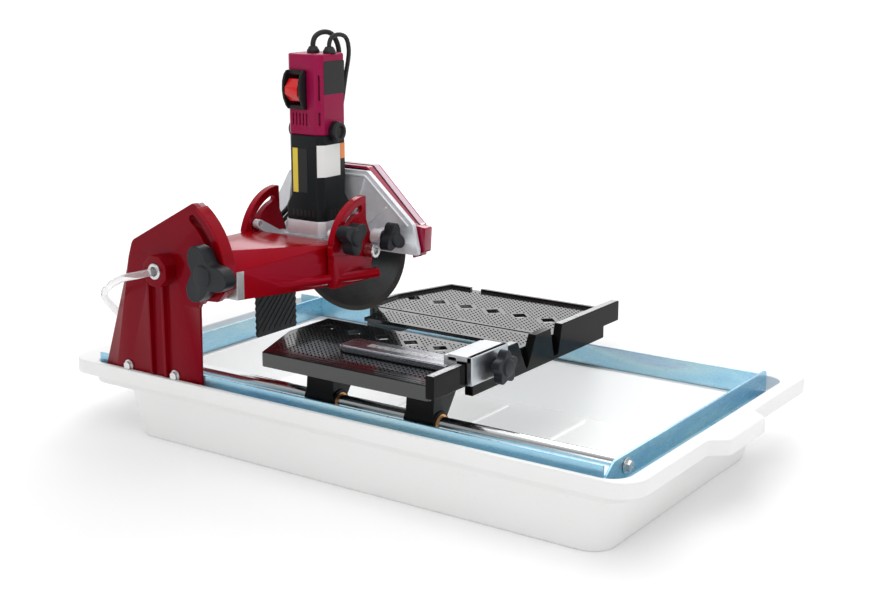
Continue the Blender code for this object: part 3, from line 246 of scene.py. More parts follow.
RED = (0.27, 0.0010, 0.004)
MAT = {}
PINK = (1.0, 0.10, 0.40)
MAT["red"] = enamel("red_enamel_look", RED, 0.18, 0.10, 0.03, 0.82, 0.28)
# painted shade: the post takes a darker copy of the red enamel because it faces away from the lights
MAT["red_post_shaded"] = enamel("post_enamel_shaded_look", mul(RED, 0.72), 0.18, 0.10, 0.03, 0.82, 0.22)
for _k in ("red", "red_post_shaded"):
    MAT[_k].node_tree.nodes["Principled BSDF"].inputs["Specular Tint"].default_value = (*PINK, 1.0)
MAT["black"] = enamel("black_enamel_look", (0.0040, 0.0045, 0.0050), 0.24, 0.14, 0.05, 0.8, 0.16)
MAT["table"] = enamel("table_enamel_look", (0.0060, 0.0080, 0.0085), 0.17, 0.10, 0.75, 0.8, 0.55)
# the raised studs are matte, and their colour is darker than the table: painted shade standing in for the shadow around
# each stud
MAT["stud"] = plastic("stud_painted_shade_look", (0.0025, 0.0025, 0.0028), 0.85, 0.3, 1500.0, 0.6, 0.05)
MAT["black_satin"] = plastic("black_plastic_look", (0.007, 0.0075, 0.008), 0.42, 0.30, 900.0, 0.85, 0.28)
MAT["knob"] = plastic("knob_look", (0.009, 0.012, 0.016), 0.40, 0.35, 700.0, 0.75, 0.30)
MAT["rubber"] = plastic("rubber_look", (0.014, 0.015, 0.016), 0.52, 0.25, 1500.0, 0.7, 0.35)
MAT["magenta"] = plastic("magenta_look", (0.29, 0.004, 0.056), 0.36, 0.10, 1300.0, 0.92, 0.16)
MAT["crimson"] = enamel("crimson_look", (0.36, 0.0040, 0.045), 0.16, 0.06, 0.5, 0.85, 0.4)
MAT["slate"] = plastic("slate_look", (0.0080, 0.0100, 0.0115), 0.36, 0.30, 1200.0, 0.8, 0.16)
MAT["chrome"] = metal("chrome_look", (0.86, 0.87, 0.88), 0.12, (0.15, 9, 9), 260.0, 0.05, 0.96)
MAT["bolt"] = metal("bolt_look", (0.70, 0.70, 0.70), 0.26, (1, 1, 1), 420.0, 0.10, 0.85)
MAT["cast"] = cast("cast_look", (0.84, 0.87, 0.95), 0.45, 0.82, 0.40)
MAT["machined"] = metal("machined_look", (0.60, 0.61, 0.62), 0.34, (12, 1, 0.4), 300.0, 0.12, 0.9)
MAT["bronze"] = metal("bronze_look", (0.72, 0.36, 0.16), 0.30, (1, 1, 1), 700.0, 0.20, 0.8)
MAT["fence"] = enamel("fence_look", (0.0040, 0.0036, 0.0034), 0.14, 0.08, 0.02, 0.8, 0.10)
MAT["switch_red"] = plastic("switch_red_look", (0.62, 0.006, 0.008), 0.25, 0.05, 900.0, 0.9, 0.4, 0.2)
MAT["iron"] = metal("armature_look", (0.45, 0.25, 0.16), 0.4, (1, 1, 20), 200.0, 0.3, 0.7)

# zinc plate with a bluish passivate film and faint rainbow drift
z = M("zinc_look")
drift = z.noise(3.6, 4.0, 0.55, z.mapped((1.0, 1.0, 3.0)), 1.2)
fine_z = z.noise(36.0, 5.0, 0.6, z.mapped((0.35, 0.35, 2.0)))
colz = z.ramp(drift, (0.26, (0.22, 0.50, 0.74)), (0.46, (0.34, 0.64, 0.80)), (0.60, (0.48, 0.72, 0.80)),
              (0.78, (0.38, 0.44, 0.72)))
colz = z.mix(z.math("MULTIPLY", fine_z, 0.35), colz, (0.62, 0.76, 0.85))
spang, _ = z.voronoi(120.0)
brz = z.noise(280.0, 3.0, 0.6, z.mapped((0.25, 0.25, 4.0)))
z.set(color=colz, metal=0.92, rough=z.rng(brz, 0.20, 0.38), normal=z.bump(brz, 0.05, 0.0001, z.bump(spang, 0.015, 0.0002)))
MAT["zinc"] = z.m

# basin plastic: soft white with a fine moulding grain and a slightly glossy floor
w = M("basin_look")
gx, gy, gz = w.xyz()
colw = w.mix(w.noise(5.0, 3.0), (0.90, 0.90, 0.895), (0.94, 0.94, 0.935))
colw = w.mix(w.ramp(w.noise(420.0, 2.0), (0.26, 0.35), (0.34, 0.0)), colw, (0.72, 0.72, 0.70))
low_floor = w.math("SUBTRACT", 1.0, w.math("GREATER_THAN", gz, 0.0120))
floor_shade_and_gloss = w.math("MULTIPLY", low_floor, w.math("LESS_THAN", w.math("ABSOLUTE", w.math("SUBTRACT", gx, 0.0230)), 0.3480))
floor_shade_and_gloss = w.math("MULTIPLY", floor_shade_and_gloss, w.math("LESS_THAN", w.math("ABSOLUTE", w.math("SUBTRACT", gy, -0.0170)), 0.1900))
# painted shade: the colour is darkened on the basin floor, which also gets a lower roughness (glossier)
colw = w.mix(w.math("MULTIPLY", floor_shade_and_gloss, 0.6), colw, (0.80, 0.80, 0.785))
grw = w.noise(900.0, 2.0, 0.6)
w.set(color=colw, rough=w.math("SUBTRACT", w.rng(w.noise(60.0, 3.0), 0.30, 0.42), w.math("MULTIPLY", floor_shade_and_gloss, 0.14)), spec=0.5,
      sss=0.04, normal=w.bump(grw, 0.10, 0.0002, w.bump(w.noise(12.0, 2.0), 0.10, 0.002)))
w.b.inputs["Subsurface Radius"].default_value = (0.01, 0.01, 0.01)
# painted light: the inside of the basin is made to glow a little (emission), inside a rounded, sloping outline, lifting
# it out of its shade
CR = 0.029
over = []
for comp, mid, half, slope in ((gx, 0.0232, 0.3557, 0.180), (gy, -0.0165, 0.1978, 0.162)):
    out = w.math("ABSOLUTE", w.math("SUBTRACT", comp, mid))
    out = w.math("SUBTRACT", out, w.math("MULTIPLY", gz, slope))
    over.append(w.math("MAXIMUM", w.math("SUBTRACT", out, half - CR), 0.0))
reach = w.math("SQRT", w.math("ADD", w.math("MULTIPLY", over[0], over[0]), w.math("MULTIPLY", over[1], over[1])))
painted_glow_zone = w.math("MULTIPLY", w.math("LESS_THAN", gz, 0.0735), w.math("GREATER_THAN", gz, 0.0031))
painted_glow_zone = w.math("MULTIPLY", painted_glow_zone, w.math("LESS_THAN", reach, CR))
w.b.inputs["Emission Color"].default_value = (0.97, 0.99, 1.0, 1.0)
w.put(w.b.inputs["Emission Strength"], w.math("MULTIPLY", painted_glow_zone, 0.32))
MAT["basin"] = w.m

# blade: ground steel body with fine rings and a darker diamond rim
b = M("blade_look")
bl_lo, bl_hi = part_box("blade")
bc = (bl_lo + bl_hi) / 2
bx, by, bz = b.xyz(b.mapped((1, 1, 1), (0, 0, 0), (-bc.x, -bc.y, -bc.z)))
rad = b.math("SQRT", b.math("ADD", b.math("MULTIPLY", bx, bx), b.math("MULTIPLY", bz, bz)))
ang = b.math("ARCTAN2", bz, bx)
comb = b.t.nodes.new("ShaderNodeCombineXYZ")
b.put(comb.inputs[0], b.math("MULTIPLY", rad, 900.0))
b.put(comb.inputs[1], b.math("MULTIPLY", ang, 1.2))
rings = b.noise(1.0, 4.0, 0.65, comb.outputs[0])
blot = b.noise(26.0, 4.0, 0.6)
colb = b.mix(rings, (0.050, 0.053, 0.055), (0.100, 0.102, 0.105))
colb = b.mix(b.ramp(blot, (0.35, 0.0), (0.75, 0.6)), colb, (0.045, 0.046, 0.048))
rim = b.math("GREATER_THAN", rad, 0.0945)
grit = b.noise(1600.0, 2.0, 0.7)
colb = b.mix(rim, colb, b.mix(grit, (0.050, 0.045, 0.040), (0.105, 0.095, 0.085)))
b.set(color=colb, metal=b.math("SUBTRACT", 0.95, b.math("MULTIPLY", rim, 0.5)),
      rough=b.math("ADD", b.rng(rings, 0.26, 0.42), b.math("MULTIPLY", rim, 0.25)),
      normal=b.bump(grit, 0.25, 0.0002, b.bump(rings, 0.08, 0.0001)))
MAT["blade"] = b.m

# flexible clear hose
v = M("vinyl_look")
streak = v.noise(70.0, 3.0, 0.5, v.mapped((1, 1, 1)))
v.set(color=v.mix(streak, (0.93, 0.91, 0.93), (0.98, 0.98, 0.98)), trans=0.80, ior=1.36, rough=v.rng(streak, 0.05, 0.14),
      spec=0.6, normal=v.bump(v.noise(160.0), 0.05, 0.0004))
MAT["vinyl"] = v.m

# printed steel rule: pale tape with dark graduations
def rule_mat(name, axis, origin):
    r = M(name)
    comp = r.xyz()[axis]
    p = r.math("ABSOLUTE", r.math("SUBTRACT", comp, origin))
    f5 = r.math("FRACT", r.math("DIVIDE", p, 0.00635))
    tick = r.math("LESS_THAN", f5, 0.14)
    cross = r.xyz()[1 - axis]
    f25 = r.math("LESS_THAN", r.math("FRACT", r.math("DIVIDE", p, 0.0254)), 0.045)
    near = r.math("LESS_THAN", r.math("FRACT", r.math("MULTIPLY", r.math("ADD", cross, 1.0), 180.0)), 0.42)
    mark = r.math("MAXIMUM", r.math("MULTIPLY", tick, near), f25)
    col = r.mix(r.noise(70.0, 3.0), (0.42, 0.43, 0.44), (0.56, 0.57, 0.58))
    col = r.mix(r.math("MULTIPLY", mark, 0.8), col, (0.03, 0.03, 0.03))
    r.set(color=col, rough=r.rng(r.noise(200.0), 0.22, 0.34), metal=0.35, coat=0.4, coat_rough=0.1,
          normal=r.bump(r.noise(500.0), 0.06, 0.0001))
    return r.m


# ------------------------------------------------------------------ mesh helpers
def obj(name, bm, mat, body, smooth=35, bevel=0.0, seg=2):
    bmesh.ops.remove_doubles(bm, verts=bm.verts, dist=1e-6)
    bmesh.ops.recalc_face_normals(bm, faces=bm.faces)
    me = bpy.data.meshes.new(name)
    for f in bm.faces:
        f.smooth = True
    bm.to_mesh(me)
    bm.free()
    me.set_sharp_from_angle(angle=math.radians(smooth))
    o = bpy.data.objects.new(name, me)
    SCN.collection.objects.link(o)
    me.materials.append(MAT[mat] if isinstance(mat, str) else mat)
    if bevel:
        m = o.modifiers.new("edge", "BEVEL")
        m.width = bevel
        m.segments = seg
        m.limit_method = "ANGLE"
        m.angle_limit = math.radians(30)
        m.harden_normals = False
    if body:
        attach(o, body)
    return o


def refine(node, mat, width=0.0008, seg=2, ang=28, smooth=50, body=None):
    """Finer copy of a CAD node: the same shape with its edges broken, in the real finish."""
    src = frame["nodes"][node]
    bm = bmesh.new()
    bm.from_mesh(src.data)
    bmesh.ops.remove_doubles(bm, verts=bm.verts, dist=2e-6)
    bmesh.ops.dissolve_limit(bm, angle_limit=math.radians(0.6), verts=list(bm.verts), edges=list(bm.edges))
    me = bpy.data.meshes.new("fine_" + node)
    for f in bm.faces:
        f.smooth = True
    bm.to_mesh(me)
    bm.free()
    o = bpy.data.objects.new("fine_" + node, me)
    SCN.collection.objects.link(o)
    me.materials.append(MAT[mat] if isinstance(mat, str) else mat)
    if width:
        m = o.modifiers.new("edge", "BEVEL")
        m.width = width
        m.segments = seg
        m.limit_method = "ANGLE"
        m.angle_limit = math.radians(ang)
        m.use_clamp_overlap = True
        m.harden_normals = True
        m.miter_outer = "MITER_ARC"
    me.set_sharp_from_angle(angle=math.radians(smooth))
    if body != "free":
        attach(o, body or BODY_OF[node])
    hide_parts(node)
    return o


def T(*p):
    return Vector(p) + SH


def b_box(x0, x1, y0, y1, z0, z1, bm=None):
    bm = bm or bmesh.new()
    bmesh.ops.create_cube(bm, size=1.0, matrix=Matrix.Translation(T((x0 + x1) / 2, (y0 + y1) / 2, (z0 + z1) / 2))
                          @ Matrix.Diagonal((x1 - x0, y1 - y0, z1 - z0, 1)))
    return bm


ROT = {"Z": Matrix.Identity(4), "X": Matrix.Rotation(math.pi / 2, 4, "Y"), "Y": Matrix.Rotation(-math.pi / 2, 4, "X")}


def b_turn(profile, axis, origin, n=48, bm=None, closed=False):
    bm2 = bmesh.new()
    vs = [bm2.verts.new((r, 0, h)) for r, h in profile]
    es = [bm2.edges.new((vs[i], vs[i + 1])) for i in range(len(vs) - 1)]
    if closed:
        es.append(bm2.edges.new((vs[-1], vs[0])))
    bmesh.ops.spin(bm2, geom=vs + es, axis=(0, 0, 1), cent=(0, 0, 0), dvec=(0, 0, 0), angle=2 * math.pi, steps=n,
                   use_merge=True)
    bmesh.ops.remove_doubles(bm2, verts=bm2.verts, dist=1e-6)
    bm2.transform(Matrix.Translation(T(*origin)) @ ROT[axis])
    if bm is None:
        return bm2
    me = bpy.data.meshes.new("t")
    bm2.to_mesh(me)
    bm2.free()
    bm.from_mesh(me)
    bpy.data.meshes.remove(me)
    return bm


def b_plate(pts, axis, a, b, bm=None):
    bm = bm or bmesh.new()
    def P(u, v, w):
        return T(*{"X": (w, u, v), "Y": (u, w, v), "Z": (u, v, w)}[axis])
    lo = [bm.verts.new(P(u, v, a)) for u, v in pts]
    hi = [bm.verts.new(P(u, v, b)) for u, v in pts]
    n = len(pts)
    bm.faces.new(lo)
    bm.faces.new(list(reversed(hi)))
    for i in range(n):
        j = (i + 1) % n
        bm.faces.new((lo[i], hi[i], hi[j], lo[j]))
    return bm


def arc(cx, cy, r, a0, a1, n):
    return [(cx + r * math.cos(math.radians(a0 + (a1 - a0) * i / n)), cy + r * math.sin(math.radians(a0 + (a1 - a0) * i / n)))
            for i in range(n + 1)]


def band(cx, cy, r0, r1, a0, a1, n=24):
    return arc(cx, cy, r1, a0, a1, n) + arc(cx, cy, r0, a1, a0, n)


def rrect(u0, u1, v0, v1, r, n=5):
    return (arc(u1 - r, v0 + r, r, -90, 0, n) + arc(u1 - r, v1 - r, r, 0, 90, n) + arc(u0 + r, v1 - r, r, 90, 180, n)
            + arc(u0 + r, v0 + r, r, 180, 270, n))


def smooth_path(pts, step):
    P = [Vector(p) for p in pts]
    P = [P[0] * 2 - P[1]] + P + [P[-1] * 2 - P[-2]]
    dense = []
    for i in range(1, len(P) - 2):
        p0, p1, p2, p3 = P[i - 1:i + 3]
        t0 = 0.0
        t1 = t0 + (p1 - p0).length ** 0.5
        t2 = t1 + (p2 - p1).length ** 0.5
        t3 = t2 + (p3 - p2).length ** 0.5
        for j in range(24):
            t = t1 + (t2 - t1) * j / 24
            a1 = p0 * ((t1 - t) / (t1 - t0)) + p1 * ((t - t0) / (t1 - t0))
            a2 = p1 * ((t2 - t) / (t2 - t1)) + p2 * ((t - t1) / (t2 - t1))
            a3 = p2 * ((t3 - t) / (t3 - t2)) + p3 * ((t - t2) / (t3 - t2))
            b1 = a1 * ((t2 - t) / (t2 - t0)) + a2 * ((t - t0) / (t2 - t0))
            b2 = a2 * ((t3 - t) / (t3 - t1)) + a3 * ((t - t1) / (t3 - t1))
            dense.append(b1 * ((t2 - t) / (t2 - t1)) + b2 * ((t - t1) / (t2 - t1)))
    dense.append(P[-2])
    total = sum((dense[i + 1] - dense[i]).length for i in range(len(dense) - 1))
    n = max(2, round(total / step))
    out, want, run = [dense[0]], total / n, 0.0
    for i in range(len(dense) - 1):
        seg = (dense[i + 1] - dense[i]).length
        while run + seg >= want - 1e-9 and len(out) < n:
            out.append(dense[i].lerp(dense[i + 1], (want - run) / seg))
            want += total / n
        run += seg
    out.append(dense[-1])
    return out


def tube(name, pts, r, mat, body, step=0.004, sides=16, shifted=True):
    """Mesh tube along a smooth path; returns the object and its centreline."""
    path = [p + SH for p in smooth_path(pts, step)]
    bm = bmesh.new()
    t = (path[1] - path[0]).normalized()
    nrm = t.orthogonal().normalized()
    rows = []
    for i, p in enumerate(path):
        d = (path[min(i + 1, len(path) - 1)] - path[max(i - 1, 0)]).normalized()
        nrm = (nrm - d * nrm.dot(d)).normalized()
        bi = d.cross(nrm)
        rows.append([bm.verts.new(p + nrm * (r * math.cos(2 * math.pi * k / sides)) + bi * (r * math.sin(2 * math.pi * k / sides)))
                     for k in range(sides)])
    for a, c in zip(rows, rows[1:]):
        for k in range(sides):
            bm.faces.new((a[k], a[(k + 1) % sides], c[(k + 1) % sides], c[k]))
    bm.faces.new(list(reversed(rows[0])))
    bm.faces.new(rows[-1])
    return obj(name, bm, mat, body, 60), path


def length(path):
    return sum((path[i + 1] - path[i]).length for i in range(len(path) - 1))


# ------------------------------------------------------------------ cords and hose
PX, PZ, TY, TZ, MX, MY = -0.2505, 0.2402, -0.014, 0.244, -0.1765, -0.0215
HOSE = [(PX, -0.2520, PZ), (PX, -0.2620, PZ), (-0.2525, -0.2740, 0.2399), (-0.2600, -0.2840, 0.2378),
        (-0.2768, -0.2887, 0.2335), (-0.3073, -0.2830, 0.2203), (-0.3388, -0.2680, 0.2024), (-0.3552, -0.2500, 0.1857),
        (-0.3605, -0.2360, 0.1735), (-0.3580, -0.2240, 0.1580), (-0.3500, -0.2150, 0.1380), (-0.3420, -0.2115, 0.1180),
        (-0.3345, -0.2110, 0.0960), (-0.3300, -0.2100, 0.0740), (-0.3260, -0.2090, 0.0540), (-0.3170, -0.2085, 0.0380),
        (-0.3065, -0.2085, 0.0303), (-0.2960, -0.2085, 0.0300)]
G_P, G_B = (-0.1795, -0.0230), (-0.1543, -0.0198)
POWER_HEAD = [(G_P[0], G_P[1], 0.4990), (G_P[0], G_P[1], 0.5090), (G_P[0], G_P[1], 0.5180), (-0.1787, -0.0190, 0.5262),
              (-0.1755, -0.0085, 0.5315),
              (-0.1715, 0.0060, 0.5290), (-0.1680, 0.0155, 0.5130), (-0.1690, 0.0175, 0.4850), (-0.1780, 0.0165, 0.4400),
              (-0.1950, 0.0155, 0.3900), (-0.2150, 0.0140, 0.3450), (-0.2360, 0.0110, 0.3080), (-0.2580, 0.0080, 0.2820),
              (-0.2740, 0.0020, 0.2640), (-0.2805, -0.0120, 0.2500), (-0.2785, -0.0270, 0.2405),
              (-0.2755, -0.0385, 0.2370), (-0.2755, -0.0440, 0.2370)]
PUMP_HEAD = [(G_B[0], G_B[1], 0.4990), (G_B[0], G_B[1], 0.5090), (G_B[0], G_B[1], 0.5180), (-0.1538, -0.0155, 0.5255),
             (-0.1515, -0.0040, 0.5290),
             (-0.1500, 0.0095, 0.5250), (-0.1510, 0.0175, 0.5080), (-0.1580, 0.0180, 0.4700), (-0.1690, 0.0165, 0.4150),
             (-0.1880, 0.0145, 0.3640), (-0.2110, 0.0110, 0.3190), (-0.2350, 0.0080, 0.2900), (-0.2600, 0.0055, 0.2680),
             (-0.2755, -0.0030, 0.2490), (-0.2795, -0.0160, 0.2365), (-0.2775, -0.0285, 0.2285),
             (-0.2755, -0.0385, 0.2255), (-0.2755, -0.0440, 0.2255)]
POWER_ARM = [(-0.2755, -0.0443, 0.2370), (-0.2755, -0.0500, 0.2370), (-0.2740, -0.0900, 0.2352), (-0.2730, -0.1400, 0.2350),
             (-0.2790, -0.1800, 0.2352), (-0.2890, -0.2010, 0.2345), (-0.2985, -0.2130, 0.2290), (-0.3025, -0.2180, 0.2200),
             (-0.3025, -0.2180, 0.2140)]
PUMP_ARM = [(-0.2755, -0.0443, 0.2255), (-0.2755, -0.0500, 0.2255), (-0.2710, -0.0900, 0.2240), (-0.2690, -0.1400, 0.2235),
            (-0.2730, -0.1800, 0.2245), (-0.2800, -0.2010, 0.2255), (-0.2870, -0.2130, 0.2240), (-0.2900, -0.2180, 0.2190),
            (-0.2900, -0.2180, 0.2140)]
POWER_ROOT = [(-0.3025, -0.2180, 0.2137), (-0.3027, -0.2180, 0.2070), (-0.3080, -0.2178, 0.1990), (-0.3200, -0.2160, 0.1910),
              (-0.3400, -0.2070, 0.1790), (-0.3600, -0.1940, 0.1600), (-0.3760, -0.1790, 0.1400), (-0.3900, -0.1640, 0.1230),
              (-0.4080, -0.1450, 0.1110), (-0.4320, -0.1220, 0.1025), (-0.4485, -0.1060, 0.0920), (-0.4590, -0.0950, 0.0650),
              (-0.4665, -0.0880, 0.0330), (-0.4770, -0.0750, 0.0120), (-0.4930, -0.0560, 0.0046), (-0.5110, -0.0330, 0.0040),
              (-0.5280, -0.0110, 0.0040)]
PUMP_ROOT = [(-0.2900, -0.2180, 0.2137), (-0.2901, -0.2180, 0.2060), (-0.2960, -0.2195, 0.1930), (-0.3100, -0.2258, 0.1780),
             (-0.3270, -0.2280, 0.1650), (-0.3345, -0.2280, 0.1500), (-0.3345, -0.2276, 0.1330), (-0.3290, -0.2268, 0.1050),
             (-0.3238, -0.2262, 0.0780), (-0.3205, -0.2245, 0.0560), (-0.3155, -0.2215, 0.0300), (-0.3085, -0.2140, 0.0140),
             (-0.3010, -0.2040, 0.0115), (-0.2940, -0.1990, 0.0125), (-0.2847, -0.1990, 0.0125)]
COIL = (-0.5300, 0.0450)
coil_pts = []
turns_in, turns_out = 2.55, 2.80
a_start = 217.0
steps = 16
for k in range(int(turns_in * steps) + 1):
    f = k / (turns_in * steps)
    a = math.radians(a_start - 360.0 * k / steps)
    r = 0.0455 - 0.0145 * f
    coil_pts.append((COIL[0] + r * math.cos(a), COIL[1] + r * math.sin(a), 0.0042 + (0.0008 if f > 0.9 else 0.0)))
a_mid = a_start - 360.0 * int(turns_in * steps) / steps
n_out = int(turns_out * steps)
for k in range(2, n_out + 1):
    f = k / n_out
    a = math.radians(a_mid - 360.0 * k / steps)
    r = 0.0310 + 0.0145 * f
    coil_pts.append((COIL[0] + r * math.cos(a), COIL[1] + r * math.sin(a), 0.0114))
a_end = a_mid - 360.0 * n_out / steps

cord, path = tube("power_cord_lead", POWER_ROOT + coil_pts + [(-0.5080, 0.0915, 0.0113), (-0.4985, 0.0910, 0.0108), (-0.4955, 0.0910, 0.0107)],
                  0.0035, "rubber", "root", 0.0045, 12)
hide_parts("power_cord", "power_cord_coil")
plug_fine = refine("power_plug", "rubber", 0.0012, 2)
print("CORD", round(length(path), 3), "a_end", a_end % 360)
bmt = b_turn([(0.0128, -0.004), (0.0140, -0.004), (0.0140, 0.004), (0.0128, 0.004)], "X", (0, 0, 0), 28, None, True)
bmt.transform(Matrix.Translation(-SH))
bmt.transform(Matrix.Translation(T(COIL[0], COIL[1] - 0.0385, 0.0125)) @ Matrix.Diagonal((1, 0.90, 0.80, 1)))
tie = obj("cord_tie", bmt, "black_satin", "root")
hose, hpath = tube("water_hose_fine", HOSE, 0.0048, "vinyl", "root", 0.003, 20)
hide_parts("water_hose")
pr, _ = tube("pump_lead_fine", PUMP_ROOT, 0.0030, "rubber", "root", 0.004, 12)
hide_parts("pump_lead")
for nm, pts, r, node in (("power_cord_arm_fine", POWER_ARM, 0.0035, "power_cord_arm"), ("pump_lead_arm_fine", PUMP_ARM, 0.0030, "pump_lead_arm")):
    o, pth = tube(nm, pts, r, "rubber", None, 0.004, 12)
    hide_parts(node)
    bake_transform(o)
for nm, pts, r, node in (("power_cord_head_fine", POWER_HEAD, 0.0035, "power_cord_head"), ("pump_lead_head_fine", PUMP_HEAD, 0.0030, "pump_lead_head")):
    o, pth = tube(nm, pts, r, "rubber", None, 0.003, 16)
    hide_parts(node)
    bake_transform(o)


# ------------------------------------------------------------------ finishes on the carried pieces
def paint(mat, *nodes):
    for n in nodes:
        me = frame["nodes"][n].data
        me.materials.clear()
        me.materials.append(MAT[mat])


MAT["motor_black"] = MAT["black_satin"]
paint("zinc", "near_rail", "far_rail", "front_cross", "rear_cross")
paint("chrome", "guide_rod")
paint("bolt", "rod_bolt_front", "post_bolt_rear", "post_bolt_front", "pivot_spindle", "tilt_bolt_front", "tilt_bolt_rear",
      "tilt_lock_bolt_rear", "arbor", "arbor_nut", "blade_flange_outer", "bevel_gear")
paint("red", "tilt_arm")
paint("red_post_shaded", "post")
paint("black_satin", "flap_bracket", "switch_plate", "brush_cap_near", "brush_cap_far", "arm_cord_clip", "post_cord_clip",
      "water_pump", "roller_rear", "roller_front")
paint("rubber", "splash_flap", "cord_gland_power", "cord_gland_pump")
paint("knob", "plunge_knob", "tilt_knob", "guard_knob", "guide_knob")
paint("cast", "gear_case", "guard_inner")
paint("slate", "motor_lower")
paint("magenta", "motor_upper")
paint("crimson", "guard_cover")
paint("switch_red", "switch_paddle")
paint("blade", "blade")
paint("iron", "armature")
paint("black", "carrier_rear", "carrier_front")
paint("table", "table_top")
paint("bronze", "bush_rear", "bush_front")
paint("fence", "fence")
paint("cast", "gear_plate")

# ------------------------------------------------------------------ arm enamel with the machined strip behind the post
am = M("arm_look")
am.edge = 0.0016
ax_, ay_, az_ = am.xyz()
mask = am.math("LESS_THAN", ay_, -0.2129 + SY)
mask = am.math("MULTIPLY", mask, am.math("GREATER_THAN", ax_, -0.2200 + SX))
mask = am.math("MULTIPLY", mask, am.math("LESS_THAN", az_, 0.2455))
mill = am.noise(900.0, 3.0, 0.6, am.mapped((1.0, 0.15, 0.15)))
cola = am.mix(am.noise(9.0, 3.0), mul(RED, 0.98), mul(RED, 1.26))
cola = am.mix(mask, cola, am.mix(mill, (0.42, 0.42, 0.43), (0.60, 0.60, 0.61)))
am.set(tint=am.mix(mask, PINK, (1.0, 1.0, 1.0)), color=cola, rough=am.math("ADD", am.rng(am.noise(35.0), 0.15, 0.25), am.math("MULTIPLY", mask, 0.15)), spec=0.36,
       metal=am.math("MULTIPLY", mask, 0.9), coat=am.math("SUBTRACT", 0.03, am.math("MULTIPLY", mask, 0.03)), coat_rough=0.05,
       normal=am.bump(am.noise(420.0, 2.0), 0.08, 0.00012, am.bump(am.noise(60.0, 2.0), 0.10, 0.0006)))
MAT["arm"] = am.m
paint("arm", "tilt_arm")

# ------------------------------------------------------------------ finer moulded basin
B = 0.0215


def rim_loop(x0, x1, y0, y1, z, r, bulge=0.0, n=12):
    pts = []
    for cx, cy, a in ((x1 - r, y0 + r, -90), (x1 - r, y1 - r, 0), (x0 + r, y1 - r, 90), (x0 + r, y0 + r, 180)):
        pts += arc(cx, cy, r, a, a + 90, n)
        if a == -90:
            for s in (-1, 1):
                seq = []
                for i in range(9):
                    f = i / 8.0
                    e = f * f * (3 - 2 * f)
                    seq.append((x1 + bulge * e, -0.071 + 0.024 * f))
                if s == 1:
                    seq = [(u, -v) for u, v in reversed(seq)]
                pts += seq
    return [T(u, v, z) for u, v in pts]


LOOPS = [(-0.327, 0.387, -0.233, 0.165, 0.0002, 0.028, 0, 0.001), (-0.329, 0.389, -0.235, 0.167, 0.003, 0.030, 0, 0.002),
         (-0.3400, 0.4000, -0.2450, 0.178, 0.0665, 0.032, 0, 0.002), (-0.4035, 0.4155, -0.2462, 0.2185, 0.0665, 0.030, 0, 0.002),
         (-0.4035, 0.4155, -0.2462, 0.2185, 0.0905, 0.030, 0, 0), (-0.4370, 0.4290, -0.2477, 0.2560, 0.0905, 0.033, B, 0),
         (-0.4370, 0.4290, -0.2477, 0.2560, 0.0750, 0.033, B, 0.0012), (-0.4400, 0.4320, -0.2507, 0.2590, 0.0750, 0.035, B, 0.0012),
         (-0.4400, 0.4320, -0.2507, 0.2590, 0.0940, 0.035, B, 0.0062), (-0.4003, 0.4123, -0.2432, 0.2153, 0.0940, 0.026, 0, 0.0020),
         (-0.4000, 0.4120, -0.2430, 0.2150, 0.0735, 0.026, 0, 0.0050), (-0.3365, 0.3965, -0.2400, 0.1745, 0.0735, 0.030, 0, 0.0040),
         (-0.3240, 0.3840, -0.2300, 0.1620, 0.0040, 0.026, 0, 0.0140)]
fine = []
for i, lp in enumerate(LOOPS):
    r = lp[7]
    if i in (0, len(LOOPS) - 1) or r <= 0:
        fine.append(lp)
        continue
    P, A, C = (Vector((lp[2], lp[4])), Vector((LOOPS[i - 1][2], LOOPS[i - 1][4])), Vector((LOOPS[i + 1][2], LOOPS[i + 1][4])))
    P, A, C = (Vector((q[0], q[3], q[4])) for q in (lp, LOOPS[i - 1], LOOPS[i + 1]))
    fa, fc = min(0.45, r / max((A - P).length, 1e-6)), min(0.45, r / max((C - P).length, 1e-6))
    a = [lp[k] + (LOOPS[i - 1][k] - lp[k]) * fa for k in range(7)]
    c = [lp[k] + (LOOPS[i + 1][k] - lp[k]) * fc for k in range(7)]
    for j in range(7):
        t = j / 6.0
        fine.append([(1 - t) ** 2 * a[k] + 2 * t * (1 - t) * lp[k] + t * t * c[k] for k in range(7)])
# the floor of the basin dishes in from the last loop
last = LOOPS[-1]
fine.append((last[0] + 0.012, last[1] - 0.012, last[2] + 0.012, last[3] - 0.012, 0.0034, 0.020, 0))
bm = bmesh.new()
rows = [[bm.verts.new(p) for p in rim_loop(*lp[:7])] for lp in fine]
nn = len(rows[0])
for a, c in zip(rows, rows[1:]):
    for i in range(nn):
        bm.faces.new((a[i], a[(i + 1) % nn], c[(i + 1) % nn], c[i]))
bm.faces.new(list(reversed(rows[0])))
bm.faces.new(rows[-1])
basin = obj("basin", bm, "basin", "root", 60)
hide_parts("water_tray")
for i in range(5):
    xr = -0.225 + i * 0.125
    obj("floor_rib_%d" % i, b_box(xr - 0.004, xr + 0.004, -0.215, 0.148, 0.0020, 0.0065), "basin", "root", 40, 0.002, 4)

# ------------------------------------------------------------------ table: raised non-slip studs, rails, rulers
bm = bmesh.new()
D = math.sqrt(0.5)
holes = [(x, 0.112) for x in (-0.1125, -0.068, -0.022, 0.023, 0.067, 0.112)] + [(x, -0.087) for x in (-0.111, -0.0655, -0.020, 0.026, 0.072)]
TOP, H = 0.1500, 0.00027


